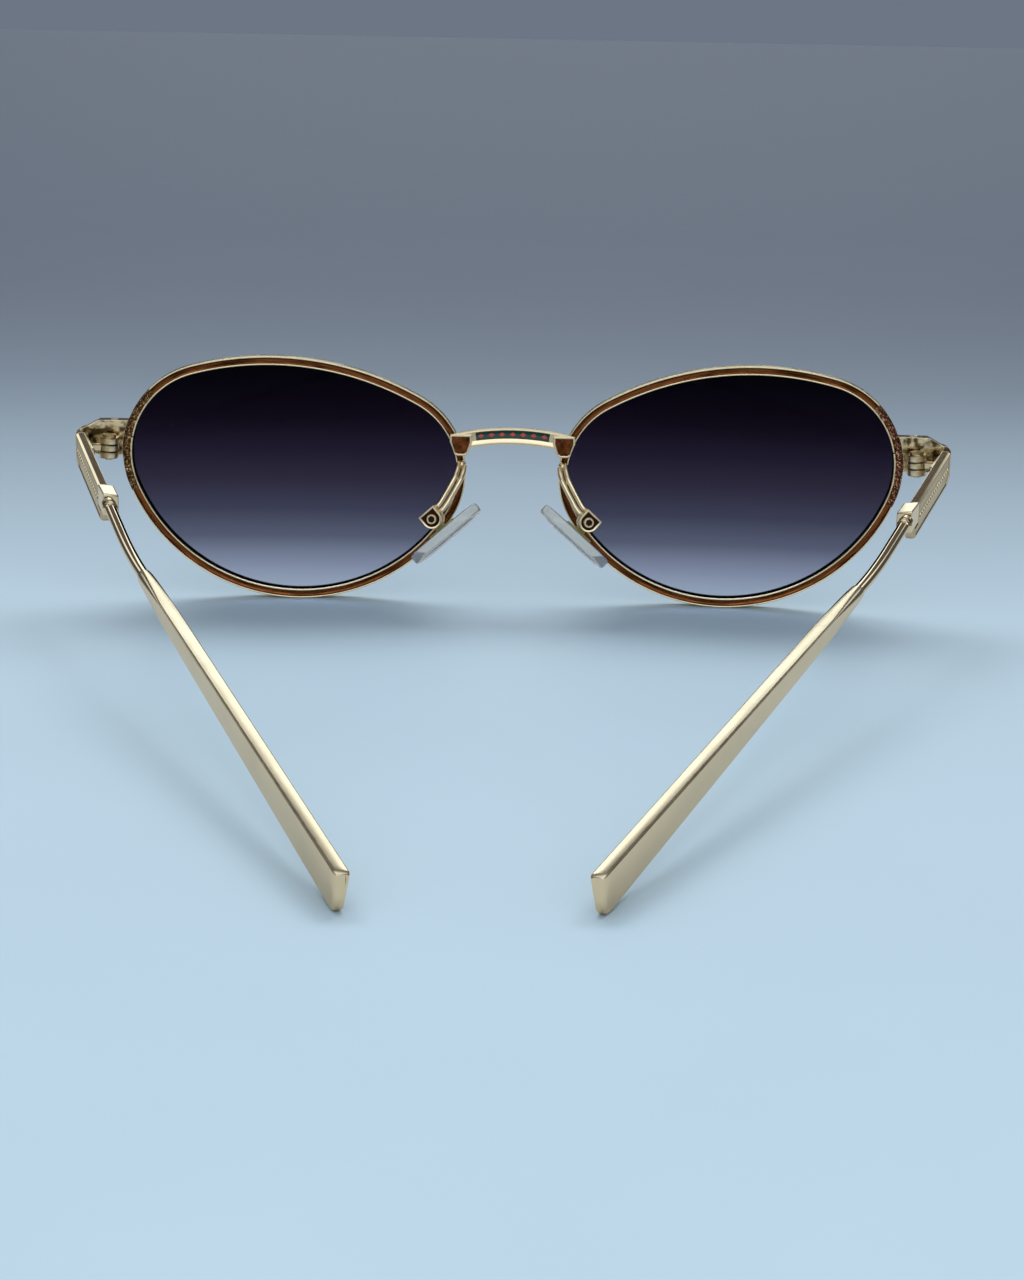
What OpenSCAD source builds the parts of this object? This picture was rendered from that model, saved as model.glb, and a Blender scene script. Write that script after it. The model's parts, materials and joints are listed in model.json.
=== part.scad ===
// Oval metal sunglasses, standing on the rims and the temple tips with the
// temples partly folded. +Z is up, the front of the glasses faces -Y, and the
// wearer's left is +X. The origin is on the floor under the middle of the
// whole pair. Millimetres.

/* [Eye shape] */
// Distance between the centres of the two end arcs of the oval
end_gap = 26.8; // [20:0.2:34]
// Radius of the oval's end next to the nose
nose_r = 12.4; // [9:0.2:15]
// Radius of the oval's end next to the temple
temple_r = 13.2; // [9:0.2:15]
// Radius of the flatter arc along the top
top_r = 49; // [36:1:80]
// Radius of the rounder arc along the bottom
bottom_r = 27.8; // [24:0.2:40]
// How far the oval's outer end is raised, in degrees
eye_tilt = 5.7; // [0:0.1:12]
// Distance between the middles of the two eyes
eye_spacing = 69.4; // [62:0.2:80]
// Radius of the lens curve
base_r = 240; // [150:5:600]
// Turn of each eye towards the temple, in degrees
wrap = 2.9; // [0:0.1:8]

/* [Rims and lenses] */
// Width of the rim wire seen from behind
rim_w = 1.45; // [1.1:0.05:2.4]
// Depth of the rim from front to back
rim_d = 2.4; // [2.2:0.1:3.6]
// Thickness of the lens
lens_t = 1.6; // [1:0.1:1.8]
// How far the lens edge reaches into the rim
lens_bite = 0.45; // [0.2:0.05:0.6]
// Depth of the shallow channel along the back of the rim
channel_d = 0.22; // [0.1:0.02:0.3]
// Width of the raised lips beside the channel
lip_w = 0.26; // [0.15:0.01:0.4]
// Width of the cut that lets the rim open for its lens
rim_slit = 0.2; // [0.1:0.05:0.4]

/* [Bridge] */
// Height of the bridge bar
bridge_h = 2.7; // [2:0.1:4]
// Depth of the bridge bar
bridge_d = 2; // [1.4:0.1:3]
// Height of the bridge's top above the middle of the eyes
bridge_up = 6.25; // [4:0.05:9]
// Radius of the bridge's arch
bridge_r = 39; // [25:1:80]
// Length of the enamel strip on the bridge
inlay_l = 12.2; // [8:0.2:13]
// Height of the enamel strip
inlay_h = 1.35; // [0.8:0.05:1.6]
// Depth of the enamel strip
inlay_d = 0.4; // [0.2:0.05:0.7]
// Width of the foot that joins the bridge to a rim
foot_w = 3.6; // [2.6:0.1:4.6]
// Height of that foot
foot_h = 3.5; // [2.6:0.1:5]

/* [Endpieces and hinges] */
// Width over the two endpieces
total_w = 140; // [132:1:150]
// Height of an endpiece
endpiece_h = 5.6; // [4.6:0.1:6.4]
// Thickness of an endpiece from front to back
endpiece_d = 2.4; // [2:0.1:3.2]
// Distance of the hinge pin inside the outer end of the endpiece
hinge_in = 5.6; // [5:0.1:7]
// Distance of the hinge pin behind the back of the endpiece
hinge_back = 1.85; // [1.7:0.05:2.6]
// Lean of the hinge pins towards the middle at their tops, in degrees
hinge_lean = 4; // [3.5:0.1:5]
// Outer radius of a hinge knuckle
knuckle_r = 1.45; // [1.2:0.05:1.6]
// Height of one of the three knuckles
knuckle_h = 1.05; // [0.8:0.05:1.4]
// Gap between two knuckles
knuckle_gap = 0.08; // [0.05:0.01:0.2]
// Radius of the hinge screw
pin_r = 0.6; // [0.4:0.05:0.8]
// Radial clearance of a pin in its bore
pin_clear = 0.04; // [0.02:0.01:0.08]
// Radius of the screw that closes the rim
lock_pin_r = 0.45; // [0.3:0.05:0.55]

/* [Temples] */
// Length of a temple from the hinge pin to the tip
temple_l = 143; // [125:1:155]
// Length of the flat front plate behind the hinge pin
plate_l = 21.5; // [16:0.5:28]
// Height of the front plate
plate_h = 5.1; // [4:0.1:6]
// Thickness of the front plate
plate_t = 1.45; // [1.2:0.05:2]
// Downward slope of the front plate, in degrees
plate_drop = 12.4; // [8:0.1:14]
// Radius of one bead on the plate
bead_r = 0.3; // [0.2:0.02:0.4]
// Spacing of the beads
bead_pitch = 1.1; // [0.9:0.05:2]
// Length of the ferrule block
ferrule_l = 4.5; // [3:0.1:6]
// Width of the ferrule block
ferrule_w = 2.35; // [2.1:0.05:3]
// Height of the ferrule block
ferrule_h = 3; // [2.4:0.1:4]
// Radius of the temple rod
rod_r = 0.85; // [0.7:0.05:1]
// Distance from the hinge pin to the bend of the rod
bend_at = 42; // [38:0.5:44]
// Half length of the bend
bend_half = 7; // [4:0.5:8]
// Inward turn of the rod at the bend, in degrees
bend_in = 2.3; // [0:0.1:6]
// Distance from the hinge pin to the start of the tip sleeve
sleeve_at = 51; // [50:0.5:60]
// Height of the sleeve at its start
sleeve_h = 2.3; // [2:0.1:3]
// Width of the sleeve at its start
sleeve_w = 2.3; // [2:0.05:3]
// Height of the sleeve at the tip
tip_h = 4.7; // [3.5:0.1:7]
// Width of the sleeve at the tip
tip_w = 1.9; // [1.6:0.05:2.4]
// How far the rod's thin core runs into the sleeve
core_l = 30; // [10:1:60]
// Radius of that core
core_r = 0.55; // [0.4:0.05:0.7]

/* [Nose pads] */
// Sideways distance of a pad screw from the middle of the bridge
pad_screw_x = 12.3; // [11:0.1:15]
// Distance of a pad screw's middle behind the pole of the lens
pad_screw_y = 6.8; // [6:0.1:8]
// Height of a pad screw
pad_screw_z = 15; // [13:0.1:18]
// Lean of a pad away from the middle, in degrees
pad_lean = 48; // [40:1:60]
// Turn of a pad towards the face, in degrees
pad_splay = 11; // [0:1:16]
// Length of a pad
pad_l = 13.6; // [11:0.2:16]
// Width of a pad
pad_w = 7.6; // [6:0.2:8.4]
// Thickness of a pad
pad_t = 2; // [1.6:0.1:2.6]
// Distance from the pad screw to the middle of the pad
pad_off = 3.3; // [3:0.1:4]
// Radius of a wire of the pad arm
arm_r = 0.42; // [0.3:0.02:0.5]
// Radius of the pad screw
pad_pin_r = 0.45; // [0.35:0.05:0.55]

/* [Pose as photographed] */
// Fold of the left temple inwards from straight back, in degrees
left_fold = 20.5; // [0:0.5:30]
// Fold of the right temple inwards from straight back, in degrees
right_fold = 21.5; // [0:0.5:30]

/* [Hidden] */
$fn = 64;

GOLD = [0.86, 0.76, 0.55];
BRIGHT_GOLD = [0.93, 0.86, 0.68];
SCREW_GOLD = [0.74, 0.63, 0.42];
LENS_TINT = [0.12, 0.12, 0.2];
ENAMEL = [0.06, 0.2, 0.15];
SILICONE = [0.82, 0.87, 0.88];
MOUNT = [0.8, 0.74, 0.45];

// What brazed pieces leave between them
seat_gap = 0.02;
// How much smaller a stretch is that ends inside another of the same piece
nest = 0.02;
// Reach of a cut past the face it opens
cut = 1;
// Depth behind the lens curve that stays open inside a rim
eye_clear = 8;
// Room between the lens and its groove
lens_gap = 0.04;
// Roundness of the large lens curves
curve_fn = 240;

// Centres of the four arcs of the oval, its own middle at [0, 0]
nose_c = [-end_gap / 2, 0];
temple_c = [end_gap / 2, 0];
function arc_x(r) = (pow(r - nose_r, 2) - pow(r - temple_r, 2)) / (2 * end_gap);
function arc_rise(r) = sqrt(pow(r - nose_r, 2) - pow(arc_x(r) + end_gap / 2, 2));
top_c = [arc_x(top_r), -arc_rise(top_r)];
bottom_c = [arc_x(bottom_r), arc_rise(bottom_r)];

// Height at which the rims just touch the floor
eye_z = bottom_r + rim_w - (bottom_c[0] * sin(eye_tilt) + bottom_c[1] * cos(eye_tilt));
eye_x = eye_spacing / 2;

// Distance of the lens curve behind its pole, at a point of the eye
function sag(x, z) = base_r - sqrt(base_r * base_r - x * x - z * z);
// The same distance in the whole front, for a point x from the middle
function back_at(x, z) = sag(x - eye_x, z - eye_z) + (x - eye_x) * tan(wrap);

// Places of the front's parts
rim_end_x = eye_x + end_gap / 2 + temple_r + rim_w;
nose_side_x = eye_x - end_gap / 2 - nose_r;
endpiece_top = eye_z + bridge_up + 0.4;
endpiece_mid = endpiece_top - endpiece_h / 2;
endpiece_back = back_at(rim_end_x, eye_z) + 0.25;
endpiece_out = total_w / 2;
// The closing block: its length past the rim, its screw's head, and what the endpiece keeps behind it
lock_l = 2.6;
lock_x = rim_end_x + lock_l / 2;
lock_in = rim_end_x - 3;
lock_out = rim_end_x + lock_l;
lock_z = endpiece_mid + 0.1;
lock_web = 0.65;
lock_head_r = 0.65;
lock_head_h = 0.45;
hinge_x = endpiece_out - hinge_in;
hinge_y = endpiece_back + hinge_back;
hinge_base = 0.3;
hinge_drop = 4.05;
hinge_mid = endpiece_top - hinge_drop;
hinge_half = 1.5 * knuckle_h + knuckle_gap;

// Places along a temple: x is outwards from the pin, y runs to the tip
plate_out = 5.05;
plate_mid = plate_out - plate_t / 2;
plate_front = -1.5;
plate_rise = 2.15;
top_at_pin = hinge_mid + plate_rise;
drop_a = tan(plate_drop);
bend_z = top_at_pin - drop_a * bend_at;
drop_b = (bend_z - tip_h) / (temple_l - bend_at);
in_b = tan(bend_in);
// Height of the temple's upper edge
function temple_top(s) = s < bend_at ? top_at_pin - drop_a * s : bend_z - drop_b * (s - bend_at);
// Sideways place of the temple's middle line
function temple_mid(s) = s < bend_at ? plate_mid : plate_mid - in_b * (s - bend_at);
rod_drop = rod_r + 0.1;
// How much of the ferrule stands over the plate's end
ferrule_lap = 2;
ferrule_at = plate_l - ferrule_lap;
ferrule_end = ferrule_at + ferrule_l;
// How far the rod reaches into the ferrule
rod_in = 2.3;
bend_start = bend_at - bend_half;

// The whole pair is centred front to back on the origin
front_reach = (rim_d + lens_t) / 2 + base_r * (1 - cos(wrap));
tip_round = 0.3;
function tip_reach(fold) =
    hinge_y + (temple_mid(temple_l) + tip_w / 2 - tip_round) * sin(fold) + temple_l * cos(fold);
back_reach = max(tip_reach(left_fold), tip_reach(right_fold));
front_y = -(back_reach - front_reach) / 2;

// A point on the far side of an arc, past its joint with an end arc
function past(c, e, r) = c + (e - c) / norm(e - c) * r;

// The eye's outline, grown by g
module oval(g = 0) {
    far_top = top_r + 10;
    far_bottom = bottom_r + 10;
    rotate(eye_tilt) {
        translate(nose_c) circle(nose_r + g, $fn = 96);
        translate(temple_c) circle(temple_r + g, $fn = 96);
        intersection() {
            translate(top_c) circle(top_r + g, $fn = 360);
            translate(bottom_c) circle(bottom_r + g, $fn = 240);
            polygon([nose_c, past(top_c, nose_c, far_top), top_c + [0, 2 * top_r],
                past(top_c, temple_c, far_top), temple_c, past(bottom_c, temple_c, far_bottom),
                bottom_c - [0, 3 * bottom_r], past(bottom_c, nose_c, far_bottom)]);
        }
    }
}

// A curved slice of the eye's outline, between depths d0 and d1 in front of the back face
module eye_slice(g, d0, d1) {
    reach = 14;
    intersection() {
        translate([0, reach, 0]) rotate([90, 0, 0]) linear_extrude(2 * reach) oval(g);
        translate([0, base_r, 0]) difference() {
            sphere(base_r + d1, $fn = curve_fn);
            sphere(base_r + d0, $fn = curve_fn);
        }
    }
}

// Carries a piece drawn in the left eye's own place to the front
module at_eye() {
    translate([eye_x, 0, eye_z]) rotate([0, 0, wrap]) children();
}

// Carries the front's pieces, the left ones as drawn and the right ones mirrored
module front(side = 1) {
    translate([0, front_y, 0]) mirror([side < 0 ? 1 : 0, 0, 0]) children();
}

// The room that a rim fills, with the gap that brazed pieces leave round it
module rim_room() {
    at_eye() eye_slice(rim_w + seat_gap, -seat_gap, rim_d + seat_gap);
}

groove_d0 = (rim_d - lens_t) / 2 - lens_gap;
groove_d1 = groove_d0 + lens_t + 2 * lens_gap;

module rim(side) {
    slit_reach = 4;
    color(GOLD) front(side) at_eye() difference() {
        eye_slice(rim_w, 0, rim_d);
        eye_slice(0, -cut, rim_d + cut);
        eye_slice(lens_bite + lens_gap, groove_d0, groove_d1);
        difference() {
            eye_slice(rim_w - lip_w, -cut, channel_d);
            eye_slice(lip_w, -2 * cut, 2 * channel_d);
        }
        translate([rim_end_x - eye_x - slit_reach, -cut, lock_z - eye_z - rim_slit / 2])
            cube([2 * slit_reach, 2 * slit_reach, rim_slit]);
    }
}

module lens(side) {
    color(LENS_TINT) front(side) at_eye()
        eye_slice(lens_bite, groove_d0 + lens_gap, groove_d1 - lens_gap);
}

// A sector of a ring round the arch's centre, from r0 to r1 and y0 to y1
module arch(r0, r1, y0, y1, half) {
    translate([0, 0, eye_z + bridge_up - bridge_r]) rotate([90, 0, 0]) rotate([0, 0, 90 - half])
        rotate_extrude(angle = 2 * half, $fn = 360)
            translate([r0, -y1]) square([r1 - r0, y1 - y0]);
}

bridge_back = 0.6;
bridge_end = nose_side_x + 0.4;
inlay_border = 0.3;
inlay_top = bridge_r - inlay_border;
inlay_half = asin(inlay_l / 2 / bridge_r);
foot_x = nose_side_x - rim_w / 2 + 0.15;
foot_top = eye_z + bridge_up - 1.05;
foot_lap = 1.2;
foot_proud = 0.6;

module bridge() {
    color(GOLD) front() difference() {
        union() {
            arch(bridge_r - bridge_h, bridge_r, bridge_back - bridge_d, bridge_back,
                asin(bridge_end / bridge_r));
            for (m = [0, 1]) mirror([m, 0, 0]) translate([foot_x, bridge_back - foot_lap, foot_top])
                rotate([-90, 0, 0]) linear_extrude(foot_lap + foot_proud) foot_outline();
        }
        arch(inlay_top - inlay_h, inlay_top, bridge_back - inlay_d, bridge_back + cut, inlay_half);
        for (m = [0, 1]) mirror([m, 0, 0]) rim_room();
        for (m = [0, 1]) mirror([m, 0, 0]) at_eye() eye_slice(0, -eye_clear, rim_d + 2 * cut);
    }
}

// A shield: square above, narrowing to a round end below
module foot_outline() {
    tip_r = foot_w * 0.3;
    shoulder = foot_h * 0.35;
    intersection() {
        translate([-foot_w / 2, 0]) square([foot_w, foot_h]);
        union() {
            translate([0, foot_h - tip_r]) circle(tip_r);
            polygon([[-foot_w / 2, -cut], [foot_w / 2, -cut], [foot_w / 2, shoulder],
                [tip_r, foot_h - tip_r], [-tip_r, foot_h - tip_r], [-foot_w / 2, shoulder]]);
        }
    }
}

module bridge_inlay() {
    gap_angle = 0.06;
    sunk = 0.05;
    color(ENAMEL) front()
        arch(inlay_top - inlay_h + seat_gap, inlay_top - seat_gap,
            bridge_back - inlay_d + seat_gap, bridge_back - sunk, inlay_half - gap_angle);
}

// The endpiece seen from behind: flat top, bevel and round outer corner
module endpiece_outline(x0) {
    low = endpiece_top - endpiece_h;
    corner_r = 1.2;
    bevel_x = endpiece_out - 3.6;
    corner_x = endpiece_out - corner_r;
    corner_top = endpiece_top - 1.3;
    intersection() {
        translate([x0, low]) square([endpiece_out - x0, endpiece_h]);
        union() {
            polygon([[x0, low], [bevel_x, low], [corner_x, low + 0.9], [endpiece_out, low + 1.6],
                [endpiece_out, corner_top - corner_r], [corner_x, corner_top],
                [bevel_x, endpiece_top], [x0, endpiece_top]]);
            translate([corner_x, corner_top - corner_r]) circle(corner_r);
        }
    }
}

// A 2D shape drawn in x and z, given a depth from y0 to y1
module upright(y0, y1) {
    translate([0, y1, 0]) rotate([90, 0, 0]) linear_extrude(y1 - y0) children();
}

module endpiece(side) {
    color(GOLD) front(side) difference() {
        union() {
            upright(endpiece_back - endpiece_d, endpiece_back) endpiece_outline(lock_out + seat_gap);
            upright(endpiece_back - lock_web, endpiece_back) endpiece_outline(lock_in);
        }
        at_eye() eye_slice(rim_w + seat_gap, -eye_clear, rim_d + 4 * cut);
    }
}

// One half of the closing block, between two heights, with its screw hole
module lock_half(z0, z1) {
    front_face = endpiece_back - endpiece_d;
    back = endpiece_back - lock_web - seat_gap;
    difference() {
        translate([lock_in, front_face, z0]) cube([lock_out - lock_in, back - front_face, z1 - z0]);
        rim_room();
        at_eye() eye_slice(rim_w / 2, -eye_clear, rim_d + 4 * cut);
        translate([lock_x, lock_y, z0 - cut])
            cylinder(h = z1 - z0 + 2 * cut, r = lock_pin_r + pin_clear);
    }
}

lock_y = endpiece_back - lock_web - (endpiece_d - lock_web) / 2;
lock_top = endpiece_top;
lock_seat = lock_top - lock_head_h;
lock_low = endpiece_top - endpiece_h + 0.2;

// The upper half takes the screw's head in a pocket, so that its top stays level
module lock_upper(side) {
    color(GOLD) front(side) difference() {
        lock_half(lock_z + rim_slit / 2, lock_top);
        translate([lock_x, lock_y, lock_seat]) cylinder(h = lock_head_h + cut, r = lock_head_r + seat_gap);
    }
}

module lock_lower(side) {
    color(GOLD) front(side) lock_half(lock_low, lock_z - rim_slit / 2);
}

// A slotted screw standing on z = 0, with its head above and its shank below
module screw(shank_r, shank_l, head_r, head_h) {
    slot_w = head_r * 0.3;
    difference() {
        union() {
            cylinder(h = head_h, r = head_r);
            translate([0, 0, -shank_l]) cylinder(h = shank_l + head_h / 2, r = shank_r);
        }
        translate([-head_r - cut, -slot_w / 2, head_h / 2]) cube([2 * (head_r + cut), slot_w, head_h]);
    }
}

module lock_screws() {
    color(SCREW_GOLD) for (side = [1, -1]) front(side)
        translate([lock_x, lock_y, lock_seat])
            screw(lock_pin_r, lock_seat - lock_low, lock_head_r, lock_head_h);
}

hinge_head_r = 1.1;
hinge_head_h = 0.5;
hinge_tip = 0.25;

// Carries a hinge's pieces: z is the pin's axis, from the middle knuckle's middle
module hinge(side) {
    front(side) translate([hinge_x, hinge_y, hinge_mid]) rotate([0, -hinge_lean, 0]) children();
}

module hinge_front(side) {
    color(GOLD) hinge(side) difference() {
        union() {
            translate([-knuckle_r, -hinge_back, -hinge_half])
                cube([2 * knuckle_r, hinge_base, 2 * hinge_half]);
            for (z = [-hinge_half, hinge_half - knuckle_h]) translate([0, 0, z]) {
                cylinder(h = knuckle_h, r = knuckle_r);
                translate([-knuckle_r, -hinge_back, 0]) cube([2 * knuckle_r, hinge_back, knuckle_h]);
            }
        }
        translate([0, 0, -hinge_half - cut])
            cylinder(h = 2 * (hinge_half + cut), r = pin_r + pin_clear);
    }
}

module hinge_screws() {
    color(SCREW_GOLD) for (side = [1, -1]) hinge(side) translate([0, 0, hinge_half])
        screw(pin_r, 2 * hinge_half + hinge_tip, hinge_head_r, hinge_head_h);
}

function fold(side) = side > 0 ? left_fold : right_fold;

// Carries a temple's pieces from their own frame to the folded place
module temple(side) {
    front(side) translate([hinge_x, hinge_y, 0]) rotate([0, 0, fold(side)]) children();
}

// A 2D shape drawn along the temple and up, given a width from x0 to x1
module along(x0, x1) {
    translate([x0, 0, 0]) rotate([90, 0, 90]) linear_extrude(x1 - x0) children();
}

leaf_t = 0.5;
leaf_x = plate_out - plate_t - leaf_t - seat_gap;

module hinge_temple(side) {
    leaf_l = 5;
    leaf_start = -1;
    leaf_top = hinge_mid + 1.6;
    leaf_low = hinge_mid - 1.6;
    link_w = 1.4;
    color(GOLD) difference() {
        union() {
            hinge(side) rotate([0, 0, fold(side)]) translate([0, 0, -knuckle_h / 2]) {
                cylinder(h = knuckle_h, r = knuckle_r);
                translate([0, -link_w / 2, 0]) cube([leaf_x + leaf_t / 2, link_w, knuckle_h]);
            }
            temple(side) along(leaf_x, leaf_x + leaf_t) polygon([[leaf_start, leaf_low],
                [leaf_l, leaf_low - 0.4], [leaf_l, leaf_top - 0.8], [leaf_start, leaf_top]]);
        }
        hinge(side) translate([0, 0, -knuckle_h]) cylinder(h = 2 * knuckle_h, r = pin_r + pin_clear);
    }
}

// The plate's side view: sloping bar with a round lower back corner
module plate_outline(inset = 0) {
    corner_r = 2;
    front_chamfer = 0.6;
    e = plate_l - inset;
    f = plate_front + inset;
    top_f = temple_top(f) - inset;
    top_e = temple_top(e) - inset;
    low_f = temple_top(f) - plate_h + inset + front_chamfer;
    low_e = temple_top(e) - plate_h + inset;
    polygon([[f, top_f], [e, top_e], [e, low_e + corner_r],
        [e - 0.3 * corner_r, low_e + 0.3 * corner_r], [e - corner_r, low_e + drop_a * corner_r],
        [f + 2, temple_top(f + 2) - plate_h + inset], [f, low_f]]);
}

// The beads stand in a shallow field inside the plate's border
bead_row = 2.4;
bead_floor = plate_out - 0.15;
plate_border = 0.55;

module temple_plate(side) {
    first = plate_front + 1.6;
    last = plate_l - 1.8;
    color(BRIGHT_GOLD) temple(side) union() {
        difference() {
            along(plate_out - plate_t, plate_out) plate_outline();
            along(bead_floor, plate_out + cut) plate_outline(plate_border);
            ferrule_room();
        }
        for (s = [first : bead_pitch : last])
            translate([bead_floor, s, temple_top(s) - bead_row]) sphere(bead_r, $fn = 24);
    }
}

// The corner of the plate that the ferrule takes
module ferrule_room() {
    f = ferrule_at - seat_gap;
    low = ferrule_h + seat_gap;
    along(-cut, plate_out + 2 * cut) polygon([[f, temple_top(f) + cut],
        [ferrule_end, temple_top(f) + cut], [ferrule_end, temple_top(ferrule_end) - low],
        [f, temple_top(f) - low]]);
}

module ferrule(side) {
    proud = 0.15;
    top_a = temple_top(ferrule_at);
    top_b = temple_top(ferrule_end);
    color(BRIGHT_GOLD) temple(side) difference() {
        along(plate_out - ferrule_w, plate_out) polygon([[ferrule_at, top_a + proud],
            [ferrule_end, top_b + proud], [ferrule_end, top_b - ferrule_h], [ferrule_at, top_a - ferrule_h]]);
        rod_line(ferrule_end - rod_in - 0.2) cylinder(h = 4 * rod_in, r = rod_r + seat_gap);
    }
}

// The rod's middle line: z of a child runs down the front stretch from s
module rod_line(s) {
    translate([plate_mid, s, temple_top(s) - rod_drop]) rotate([-90 - plate_drop, 0, 0]) children();
}

// Directions of the two stretches of the rod and the angle between them
dir_a = [0, 1, -drop_a] / norm([0, 1, -drop_a]);
dir_b = [-in_b, 1, -drop_b] / norm([-in_b, 1, -drop_b]);
bend_angle = acos(dir_a * dir_b);
bend_point = [plate_mid, bend_at, bend_z - rod_drop];
bend_tangent = bend_half;
bend_r = bend_tangent / tan(bend_angle / 2);
bend_axis = cross(dir_a, dir_b) / norm(cross(dir_a, dir_b));
bend_lap = 0.1;
turn_b = atan2(-dir_b[0], dir_b[1]);
fall_b = asin(-dir_b[2]);

// The rear stretch of the rod: z of a child runs down it from t past the bend point
module rear_line(t) {
    translate(bend_point + dir_b * t) rotate([0, 0, turn_b]) rotate([-90 - fall_b, 0, 0]) children();
}

// Turns z onto the bend's axis with x on the way from its centre to its start
module bend_frame() {
    out = cross(dir_a, bend_axis);
    lean = acos(bend_axis[2]);
    heading = atan2(bend_axis[1], bend_axis[0]);
    side_x = [cos(heading) * cos(lean), sin(heading) * cos(lean), -sin(lean)];
    side_y = [-sin(heading), cos(heading), 0];
    spin = atan2(out * side_y, out * side_x);
    translate(bend_point - dir_a * bend_tangent - out * bend_r)
        rotate([0, lean, heading]) rotate([0, 0, spin]) children();
}

module temple_rod(side) {
    collar_r = rod_r + 0.25;
    collar_at = ferrule_end + 0.3;
    collar_l = 0.9;
    ball_at = collar_at + 1.6;
    ball_r = collar_r - 0.05;
    core_lap = 0.5;
    start = ferrule_end - rod_in;
    front_l = (bend_start - start) / cos(plate_drop) + (bend_half / cos(plate_drop) - bend_tangent);
    step_t = (sleeve_at - bend_at) / cos(fall_b);
    color(GOLD) temple(side) union() {
        rod_line(start) cylinder(h = front_l, r = rod_r);
        rod_line(collar_at) cylinder(h = collar_l, r = collar_r);
        rod_line(ball_at) sphere(ball_r, $fn = 32);
        bend_frame() rotate([0, 0, -bend_lap]) rotate_extrude(angle = bend_angle + 2 * bend_lap, $fn = 720)
            translate([bend_r, 0]) circle(rod_r - nest, $fn = 32);
        rear_line(bend_tangent) cylinder(h = step_t - bend_tangent - rod_r * tan(fall_b), r = rod_r);
        rear_line(step_t - core_lap) cylinder(h = core_l, r = core_r);
    }
}

module temple_sleeve(side) {
    end_chamfer = 1.6;
    end_bevel = 0.5;
    nose_l = 5;
    e = temple_l;
    a = sleeve_at + seat_gap;
    b = sleeve_at + nose_l;
    w0 = rod_r + 0.15;
    mid_a = temple_top(a) - rod_drop;
    mid_b = temple_top(b) - rod_drop;
    wide = temple_mid(e) + tip_w / 2;
    slim = temple_mid(e) - tip_w / 2;
    color(BRIGHT_GOLD) temple(side) difference() {
        intersection() {
            along(-2 * plate_out, 2 * plate_out) polygon([[a, mid_a + w0], [b, mid_b + sleeve_h / 2],
                [e - end_bevel, temple_top(e - end_bevel)], [e, temple_top(e) - end_bevel],
                [e, end_chamfer * 0.8], [e - end_chamfer, 0], [b, mid_b - sleeve_h / 2],
                [a, mid_a - w0]]);
            linear_extrude(endpiece_top) polygon([[temple_mid(a) - w0, a], [temple_mid(a) + w0, a],
                [temple_mid(b) + sleeve_w / 2, b], [wide, e - tip_round], [wide - tip_round, e],
                [slim + tip_round, e], [slim, e - tip_round], [temple_mid(b) - sleeve_w / 2, b]]);
        }
        rear_line((sleeve_at - bend_at) / cos(fall_b) - cut)
            cylinder(h = core_l + cut + seat_gap, r = core_r + seat_gap);
    }
}

// The left pad's place in the front: z is the pad screw's axis, x runs to the pad
module place_pad() {
    translate([pad_screw_x, pad_screw_y, pad_screw_z])
        rotate([0, 180 - pad_lean, 0]) rotate([-90, 0, 0]) rotate([0, -pad_splay, 0]) children();
}

module at_pad(side) {
    front(side) place_pad() children();
}

box_r = 1.55;
box_half = 1.6;
box_wall = 0.7;
mount_clear = 0.05;
mount_half = box_half - box_wall - mount_clear;
mount_r = 1.25;
mount_turn_gap = 0.08;
pad_back = pad_off - pad_t / 2;
foot_r = 0.72;

module pad_box(side) {
    color(GOLD) at_pad(side) difference() {
        translate([0, 0, -box_half]) linear_extrude(2 * box_half) union() {
            circle(box_r);
            translate([-box_r, -box_r]) square([box_r, 2 * box_r]);
        }
        translate([0, 0, box_wall - box_half]) linear_extrude(2 * (box_half - box_wall)) union() {
            circle(mount_r + mount_turn_gap);
            translate([0, -box_r - cut]) square([box_r + cut, 2 * (box_r + cut)]);
        }
        translate([0, 0, -box_half - cut]) cylinder(h = 2 * (box_half + cut), r = pad_pin_r + pin_clear);
    }
}

module pad_screws() {
    head_r = 0.8;
    head_h = 0.35;
    color(SCREW_GOLD) for (side = [1, -1]) at_pad(side) translate([0, 0, box_half])
        screw(pad_pin_r, 2 * box_half, head_r, head_h);
}

module pad_mount(side) {
    stem = 1.5;
    flange_t = 0.4;
    flange_l = 4.8;
    color(MOUNT) at_pad(side) difference() {
        union() {
            translate([0, 0, -mount_half]) linear_extrude(2 * mount_half) union() {
                circle(mount_r);
                translate([0, -stem / 2]) square([pad_back - seat_gap, stem]);
            }
            translate([pad_back - flange_t, -flange_l / 2, -mount_half])
                cube([flange_t - seat_gap, flange_l, 2 * mount_half]);
        }
        translate([0, 0, -box_half]) cylinder(h = 2 * box_half, r = pad_pin_r + pin_clear);
    }
}

// The pad: a long rounded plate, the two faces a little domed
module nose_pad(side) {
    dome_r = 26;
    color(SILICONE) at_pad(side) intersection() {
        translate([pad_back, 0, 0]) rotate([0, 90, 0]) linear_extrude(pad_t) union() {
            for (y = [-1, 1]) translate([0, y * (pad_l - pad_w) / 2]) circle(pad_w / 2);
            translate([-pad_w / 2, -(pad_l - pad_w) / 2]) square([pad_w, pad_l - pad_w]);
        }
        translate([pad_back + pad_t - dome_r, 0, 0]) sphere(dome_r, $fn = 120);
    }
}

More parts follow.
